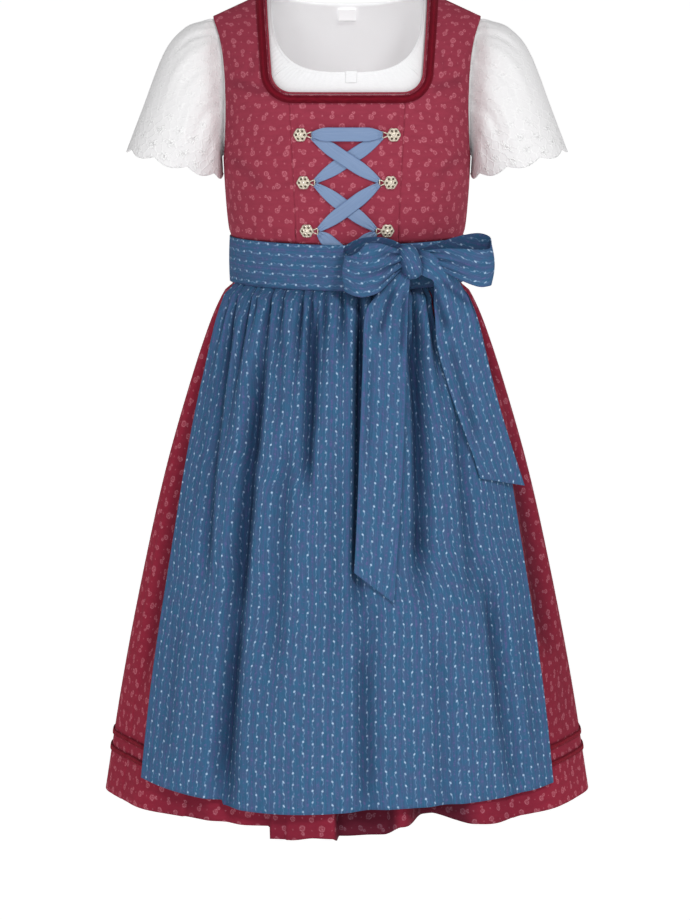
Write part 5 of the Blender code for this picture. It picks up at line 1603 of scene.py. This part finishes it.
def apron_spot(across, up):
    """How far down the panel a place is, its angle and height, and how far gathers stand out and go in."""
    share = (1 - up) ** 1.25
    place = 2 * across - 1
    rise = APRON_HEM_RISE_LEFT if place < 0 else APRON_HEM_RISE_RIGHT
    step = APRON_HEM_STEP * ease((place - APRON_HEM_STEP_AT) / 0.011) * ease((0.2 - place) / 0.6)
    hem = APRON_HEM_Z + rise * abs(place) ** 3 - step
    top = BAND_TOP_Z - band_dip(math.radians(APRON_EDGES[0].angle) * place) - BAND_WIDTH + APRON_TUCK
    z = top + share * (hem - top)
    angle = math.radians(smooth(APRON_EDGES, "angle", z)) * place
    gather = smooth(APRON_ROWS, "gather", share, "share")
    valleys = 0.0
    for valley in GATHER_VALLEYS:
        away = abs(place - valley.across) / (valley.half_width * (1 + 1.6 * share / valley.reach))
        if away < 1:
            fade = ease((valley.reach * 1.3 - share) / (valley.reach * 1.1))
            valleys += (gather + 0.0026) * valley.depth * fade * (1 - away) ** 1.1
    return share, angle, z, gather, valleys


def apron_panel(across, up):
    share, angle, z, gather, valleys = apron_spot(across, up)
    low = ease((share - APRON_LOW_START) / (APRON_LOW_FULL - APRON_LOW_START))
    over_pleat = bump(math.degrees(angle) - APRON_PLEAT_ANGLE, APRON_PLEAT_HALF_WIDTH)
    half_width = smooth(SKIRT, "half_width", z)
    out = APRON_OUT + gather - valleys + low * (APRON_LOW_OUT + APRON_PLEAT_OUT * over_pleat)
    out -= long_fold_depth(angle, z)
    out += max(creased(APRON_CREASES, half_width * math.sin(angle), z), -APRON_CREASE_DEEPEST)
    out = APRON_TUCK_OUT + (out - APRON_TUCK_OUT) * ease((share - 0.002) / 0.007)
    turned_edge = max(abs(2 * across - 1) - 0.985, 0.0) / 0.015
    out += 0.0006 * (1 - abs(2 * turned_edge - 1)) if turned_edge > 0 else 0.0
    return ring_point(angle, half_width, smooth(SKIRT, "half_depth", z), out, z)


# Painted shade on the apron, from 0 to 1: in the gather valleys, the long folds and the crease troughs, and
# just under the band.
def apron_painted_shade(across, up):
    share, angle, z, gather, valleys = apron_spot(across, up)
    creases = -creased(APRON_CREASES, smooth(SKIRT, "half_width", z) * math.sin(angle), z)
    folds = (long_fold_depth(angle, z) / FOLD_FULLY_SHADED_AT) ** 1.5
    deep = 0.85 * valleys / 0.0080 + (0.95 - 0.40 * ease((share - 0.45) / 0.25)) * folds
    return deep + max(creases, 0.0) / 0.0090 + 0.25 * (1 - ease(share / 0.02))


# The print: columns of pale dots on thin vines, in mirrored pairs, with fine purple stripes between pairs.
VINE_COLUMN = 0.0096
DOT_STEP = 0.0113
DOT_RADIUS = 0.00100


def vine_print(name, ground, under):
    cloth, tree, shader = new_cloth(name, 0.9)
    flat, x, y = flat_place(tree)
    column = maths("FLOOR", x / VINE_COLUMN)
    pair = maths("FLOOR", x / (2 * VINE_COLUMN))
    odd_column = column % 2.0
    side = odd_column * 2.0 - 1.0
    own_x = x - (column + 0.5) * VINE_COLUMN
    outwards = own_x * side
    step = y / DOT_STEP + (odd_column * 0.24 + pair * 0.37)
    own_y = (step - maths("FLOOR", step) - 0.5) * DOT_STEP
    number = maths("FLOOR", step) * 3.0 + column * 5.0
    chance = (number % 7.0) / 6.0
    flipped = maths("GREATER_THAN", chance, 0.6) * 2.0 - 1.0
    dot = inside(from_spot(outwards, own_y, 0.0, 0.0), DOT_RADIUS, 0.0005)
    sway = flipped * maths("SINE", own_y * (2 * math.pi / DOT_STEP))
    vine_x = sway * 0.0009 + (mottle(flat, 210, 210) - 0.5) * 0.0022
    vine = inside(abs(outwards - vine_x), 0.00048, 0.00045)
    under_dot = inside(abs(own_y + 0.0024), 0.0020, 0.0014)
    broken = inside(mottle(flat, 360, 300), 0.49, 0.10)
    shown = under_dot * (0.35 + broken * 0.55)
    vine = vine * maths("MAXIMUM", shown, broken * 0.55)
    edge = VINE_COLUMN / 2 - abs(own_x)
    stripe = inside(edge, 0.00050, 0.0004)
    between_pairs = maths("GREATER_THAN", outwards, 0.0)
    blotch = inside(edge, 0.0012, 0.0009) * inside(mottle(flat, 190, 330), 0.42, 0.06)
    near_vine = inside(mottle(flat, 170, 90), 0.50, 0.14)
    ribs = inside(mottle(flat, 1500, 50), 0.50, 0.16)
    base = blend(near_vine, under, ground)
    base = blend(ribs * 0.42, base, tuple(c * 0.50 for c in ground))
    base = blend(stripe * between_pairs * 0.40, base, dyed(78, 80, 130))
    base = blend(blotch * 0.45, base, dyed(104, 92, 148))
    base = blend(vine * 0.85, base, dyed(122, 157, 192))
    worn = 0.20 + (mottle(flat, 240, 240) + chance) * 0.48
    base = blend(dot * worn, base, dyed(172, 197, 224))
    # Painted shade: the print is darkened towards (0.32, 0.34, 0.40) as far as the points' 'deep' value says.
    feed(with_painted_shade(base, (0.32, 0.34, 0.40)), shader.inputs["Base Color"])
    relief(shader, plain_weave(x, y, flat), 0.00010)
    return cloth


apron_print = vine_print("blue_vine_cotton", dyed(56, 100, 136), dyed(70, 95, 134))
valleys = [(0.5 + 0.5 * v.across, 0.5 * v.half_width) for v in GATHER_VALLEYS]
gathered_in = {"width": 0.48, "taken_up": valleys, "from_top": True, "deep": apron_painted_shade}
panel = piece_of_cloth("apron_gathered_panel", 420, 108, apron_panel, APRON_CLOTH, **gathered_in)
wear(panel, apron_print, "apron_panel")


# The apron's waistband and its tie. A flat 45 mm band of the same print runs round the front, and its tie
# goes on round the back and comes to the bow at the right of the front.

BAND_HALF_WIDTH = 0.1168
BAND_HALF_DEPTH = 0.0893
BAND_END_ANGLE = 80.0
BAND_END_GAP_ANGLE = 0.15
BAND_CREASES = [Crease(*row) for row in (
    (0.0480, -0.2480, 0.0100, -0.2560, 0.0050, -0.0008),
    (-0.1100, -0.2620, -0.0700, -0.2660, 0.0045, -0.0007),
    (-0.0900, -0.2480, -0.0300, -0.2500, 0.0035, 0.0005),
    (0.0860, -0.2560, 0.1100, -0.2600, 0.0045, -0.0008),
    (-0.0500, -0.2760, -0.0100, -0.2790, 0.0040, -0.0006),
)]


def band_point(angle, up, creases=()):
    z = BAND_TOP_Z - band_dip(angle) - BAND_WIDTH * (1 - up)
    crown = 0.0006 * math.sin(math.pi * up)
    push = creased(creases, BAND_HALF_WIDTH * math.sin(angle), z) if creases else 0.0
    return ring_point(angle, BAND_HALF_WIDTH, BAND_HALF_DEPTH, crown + push, z)


def waistband(across, up):
    return band_point(math.radians(BAND_END_ANGLE * (2 * across - 1)), up, BAND_CREASES)


def tie_back(across, up):
    start = BAND_END_ANGLE + BAND_END_GAP_ANGLE
    angle = math.radians(start + (360 - 2 * start) * across)
    wave = 0.0005 * math.sin(14 * across + 3 * up) * math.sin(math.pi * across)
    point = band_point(wrapped(angle), up)
    out = Vector((point.x, point.y, 0)).normalized()
    return point + out * wave


band_print = vine_print("blue_vine_cotton_lengthwise", dyed(58, 100, 136), dyed(72, 94, 134))
band = piece_of_cloth("apron_band_front", 150, 16, waistband, turned=True)
wear(band, band_print, "apron_waistband")
tie = piece_of_cloth("apron_tie_round_back", 150, 14, tie_back, turned=True)
wear(tie, band_print, "apron_tie_back")


# The bow. The tie's two loops stand out to either side of a tight wrapped knot, and its two ends hang over
# the apron: a long one straight down and a short one out to the right, each cut off at a slant.

LoopPoint = namedtuple("LoopPoint", "x y top_z bottom_z")
LEFT_LOOP = [LoopPoint(*row) for row in (
    (0.0560, -0.0930, -0.2440, -0.2600),
    (0.0447, -0.0955, -0.2375, -0.2660),
    (0.0311, -0.0975, -0.2345, -0.2700),
    (0.0156, -0.0990, -0.2352, -0.2760),
    (0.0039, -0.1015, -0.2390, -0.2830),
    (-0.0029, -0.1060, -0.2450, -0.2855),
    (-0.0019, -0.1125, -0.2504, -0.2862),
    (0.0039, -0.1170, -0.2510, -0.2890),
    (0.0117, -0.1200, -0.2465, -0.2909),
    (0.0185, -0.1210, -0.2395, -0.2905),
    (0.0311, -0.1190, -0.2388, -0.2862),
    (0.0437, -0.1080, -0.2436, -0.2745),
    (0.0560, -0.0940, -0.2485, -0.2640),
)]
RIGHT_LOOP = [LoopPoint(*row) for row in (
    (0.0710, -0.0850, -0.2470, -0.2620),
    (0.0840, -0.0790, -0.2440, -0.2650),
    (0.0990, -0.0750, -0.2385, -0.2720),
    (0.1140, -0.0730, -0.2345, -0.2780),
    (0.1285, -0.0735, -0.2325, -0.2820),
    (0.1385, -0.0765, -0.2350, -0.2830),
    (0.1410, -0.0815, -0.2403, -0.2820),
    (0.1395, -0.0875, -0.2462, -0.2830),
    (0.1290, -0.0935, -0.2472, -0.2835),
    (0.1130, -0.0970, -0.2460, -0.2776),
    (0.0960, -0.0955, -0.2460, -0.2690),
    (0.0820, -0.0900, -0.2475, -0.2630),
    (0.0710, -0.0880, -0.2490, -0.2610),
)]
KNOT_CENTRE = (0.0612, -0.0970, -0.2586)
KNOT_HALF_SIZE = (0.0114, 0.0140, 0.0174)
KNOT_LEAN = -17.0
KNOT_TURN = 16.0

# Creases that run out of the knot along a loop, by place across the strip from its top edge at 0.
LoopCrease = namedtuple("LoopCrease", "across half_width reach depth")
LEFT_LOOP_CREASES = [LoopCrease(*row) for row in (
    (0.22, 0.10, 0.55, -0.0026),
    (0.40, 0.09, 0.75, 0.0016),
    (0.55, 0.10, 0.85, -0.0030),
    (0.72, 0.08, 0.50, 0.0014),
    (0.84, 0.08, 0.60, -0.0022),
)]
RIGHT_LOOP_CREASES = [LoopCrease(*row) for row in (
    (0.18, 0.10, 0.60, -0.0022),
    (0.36, 0.09, 0.80, 0.0016),
    (0.50, 0.10, 0.90, -0.0028),
    (0.66, 0.08, 0.60, 0.0014),
    (0.82, 0.09, 0.75, -0.0024),
)]


FAR_HALF = 0.45
TIE_CLOTH = 0.0010


def off_crease(crease, down, from_knot):
    """How many half widths a place is from a loop's crease, which widens away from the knot."""
    return abs(down - crease.across) / (crease.half_width * (0.6 + 1.2 * from_knot))


def bow_loop(name, points, creases, swell):
    spots = [Vector((p.x, p.y, p.top_z, p.bottom_z)) for p in points]

    def loop(across, up):
        x, y, top_z, bottom_z = smooth_run(spots, across)
        down = 1 - up
        ahead = smooth_run(spots, min(across + 0.01, 1.0)) - smooth_run(spots, max(across - 0.01, 0.0))
        out = Vector((ahead.y, -ahead.x, 0)).normalized()
        out = -out if out.y > 0 else out
        from_knot = 2 * min(across, 1 - across)
        push = swell * math.sin(math.pi * down) * (1 if across > 0.5 else -0.3)
        for crease in creases:
            away = off_crease(crease, down, from_knot)
            if away < 1 and across > FAR_HALF:
                fade = ease((crease.reach - from_knot) / crease.reach) * ease(from_knot / 0.12)
                push += crease.depth * (1 - away**2) ** 2 * fade
        z = top_z + (bottom_z - top_z) * down
        return Vector((x, y, z)) + out * push

    def loop_painted_shade(across, up):
        """Painted shade: the far half is darkened, and on the near half the part by the knot, the mouth just
        past the turn at its top edge, and its crease troughs.
        """
        down = 1 - up
        from_knot = 2 * min(across, 1 - across)
        if across < FAR_HALF:
            return 0.55 * ease((0.50 - across) / 0.10)
        total = 0.55 * (1 - ease(from_knot / 0.16))
        total += 0.75 * (1 - ease((across - FAR_HALF) / 0.10)) * (1 - ease(down / 0.35))
        for crease in creases:
            away = off_crease(crease, down, from_knot)
            if away < 1 and crease.depth < 0:
                total += 0.75 * (1 - away**2) * ease((crease.reach - from_knot) / crease.reach)
        return total

    return piece_of_cloth(name, 140, 32, loop, TIE_CLOTH, turned=True, deep=loop_painted_shade)


loop = bow_loop("bow_left_loop", LEFT_LOOP, LEFT_LOOP_CREASES, 0.004)
wear(loop, band_print, "bow_loop_left")
loop = bow_loop("bow_right_loop", RIGHT_LOOP, RIGHT_LOOP_CREASES, 0.003)
wear(loop, band_print, "bow_loop_right")

# The knot is wrapped from its top left to its lower middle, in pleats that all run that way.
PLEATS_IN_KNOT = 4.6
PLEAT_DEPTH = 0.0014
WRAP_LEAN = 0.22
CLOTH_ROUND_KNOT = 0.021
shape = bmesh.new()
bmesh.ops.create_uvsphere(shape, u_segments=96, v_segments=64, radius=1.0)
placed = {}
for vert in shape.verts:
    way = vert.co.copy()
    wrap = way.x + WRAP_LEAN * way.z
    pleats = PLEAT_DEPTH * (abs(math.sin(wrap * PLEATS_IN_KNOT / 2 + 0.5)) ** 0.7 - 0.7)
    pleats *= max(-way.y + 0.1, 0.0)
    gripped = 1 - 0.10 * (1 - way.z**2) ** 2
    placed[vert] = (wrap * CLOTH_ROUND_KNOT, way.z * CLOTH_ROUND_KNOT)
    vert.co.x = math.copysign(abs(way.x) ** 0.75, way.x) * KNOT_HALF_SIZE[0] * gripped
    vert.co.y = math.copysign(abs(way.y) ** 0.85, way.y) * (KNOT_HALF_SIZE[1] + pleats)
    vert.co.z = math.copysign(abs(way.z) ** 0.90, way.z) * KNOT_HALF_SIZE[2]
map_cloth(shape, placed.get)
knot_turn = Matrix.Rotation(math.radians(KNOT_TURN), 4, "Z")
knot_lean = Matrix.Rotation(math.radians(KNOT_LEAN), 4, "Y")
bmesh.ops.transform(shape, matrix=Matrix.Translation(KNOT_CENTRE) @ knot_turn @ knot_lean, verts=shape.verts)
wear(smooth_object("bow_wrapped_knot", shape), band_print, "bow_knot")

TailRow = namedtuple("TailRow", "left_x left_y left_z right_x right_y right_z")
LONG_TAIL = [TailRow(*row) for row in (
    (0.0530, -0.0950, -0.2640, 0.0610, -0.0960, -0.2660),
    (0.0400, -0.1010, -0.2785, 0.0610, -0.1030, -0.2800),
    (0.0260, -0.1080, -0.2935, 0.0595, -0.1060, -0.2950),
    (0.0170, -0.1160, -0.3110, 0.0590, -0.1130, -0.3110),
    (0.0150, -0.1320, -0.3560, 0.0575, -0.1290, -0.3560),
    (0.0125, -0.1475, -0.4200, 0.0555, -0.1440, -0.4200),
    (0.0097, -0.1610, -0.4950, 0.0516, -0.1590, -0.4950),
    (0.0068, -0.1695, -0.5540, 0.0455, -0.1715, -0.5835),
)]
SHORT_TAIL = [TailRow(*row) for row in (
    (0.0660, -0.0930, -0.2680, 0.0680, -0.0900, -0.2460),
    (0.0760, -0.1005, -0.2730, 0.0830, -0.0950, -0.2510),
    (0.0835, -0.1010, -0.2765, 0.0960, -0.0940, -0.2640),
    (0.0850, -0.0985, -0.2830, 0.1065, -0.0890, -0.2750),
    (0.0850, -0.0960, -0.2940, 0.1145, -0.0840, -0.2870),
    (0.0860, -0.0975, -0.3120, 0.1220, -0.0810, -0.3030),
    (0.0890, -0.1040, -0.3450, 0.1325, -0.0820, -0.3360),
    (0.1040, -0.1100, -0.3950, 0.1480, -0.0840, -0.3950),
    (0.1225, -0.1120, -0.4450, 0.1600, -0.0860, -0.4350),
    (0.1305, -0.1130, -0.4700, 0.1755, -0.0800, -0.4820),
)]
LONG_TAIL_CREASES = [Crease(*row) for row in (
    (0.0470, -0.2780, 0.0300, -0.3300, 0.0060, -0.0022),
    (0.0520, -0.2800, 0.0420, -0.3600, 0.0050, 0.0016),
    (0.0560, -0.2820, 0.0520, -0.3500, 0.0045, -0.0018),
    (0.0370, -0.3900, 0.0330, -0.5100, 0.0090, 0.0010),
    (0.0230, -0.3400, 0.0190, -0.4600, 0.0060, -0.0010),
)]
SHORT_TAIL_CREASES = [Crease(*row) for row in (
    (0.0800, -0.2740, 0.1000, -0.3300, 0.0060, -0.0024),
    (0.0830, -0.2720, 0.1150, -0.3150, 0.0055, 0.0018),
    (0.0900, -0.2760, 0.1230, -0.3050, 0.0045, -0.0018),
    (0.0980, -0.3300, 0.1300, -0.4400, 0.0080, -0.0014),
    (0.1180, -0.3300, 0.1480, -0.4500, 0.0080, 0.0012),
)]


def over_apron_y(x, z):
    """The front of the band, or of the apron's outermost gathers under it, at a place."""
    top_z = BAND_TOP_Z - BAND_FRONT_DIP - BAND_WIDTH
    gather = smooth(APRON_ROWS, "gather", (top_z - z) / (top_z - APRON_HEM_Z), "share")
    out = CLOTH + LAYER_GAP
    reach = APRON_OUT + gather + out
    half_width = max(smooth(SKIRT, "half_width", z) + reach, BAND_HALF_WIDTH + out)
    half_depth = max(smooth(SKIRT, "half_depth", z) + reach, BAND_HALF_DEPTH + out)
    share = min(abs(x) / half_width, 0.98)
    return -half_depth * math.sqrt(1 - share**2)


def bow_tail(name, table, creases):
    edges = [Vector(row) for row in table]

    def tail(across, up):
        left_x, left_y, left_z, right_x, right_y, right_z = smooth_run(edges, 1 - up)
        x, y, z = between((left_x, left_y, left_z), (right_x, right_y, right_z), across)
        return Vector((x, min(y, over_apron_y(x, z)) - creased(creases, x, z), z))

    # Painted shade: darker just under the knot and in the troughs of the creases.
    def tail_painted_shade(across, up):
        left_x, _, left_z, right_x, _, right_z = smooth_run(edges, 1 - up)
        x, z = between((left_x, left_z), (right_x, right_z), across)
        return 0.8 * (1 - ease((1 - up) / 0.10)) + max(-creased(creases, x, z), 0.0) / 0.0030

    return piece_of_cloth(name, 40, 120, tail, TIE_CLOTH, from_top=True, deep=tail_painted_shade)


# The tails' print is the apron's, made a little lighter: painted light.
tail_print_painted_lighter = vine_print("blue_vine_cotton_tie_ends_painted_lighter", dyed(58, 102, 138), dyed(72, 96, 136))
tail = bow_tail("bow_long_end", LONG_TAIL, LONG_TAIL_CREASES)
wear(tail, tail_print_painted_lighter, "bow_tail_long")
tail = bow_tail("bow_short_end", SHORT_TAIL, SHORT_TAIL_CREASES)
wear(tail, tail_print_painted_lighter, "bow_tail_short")
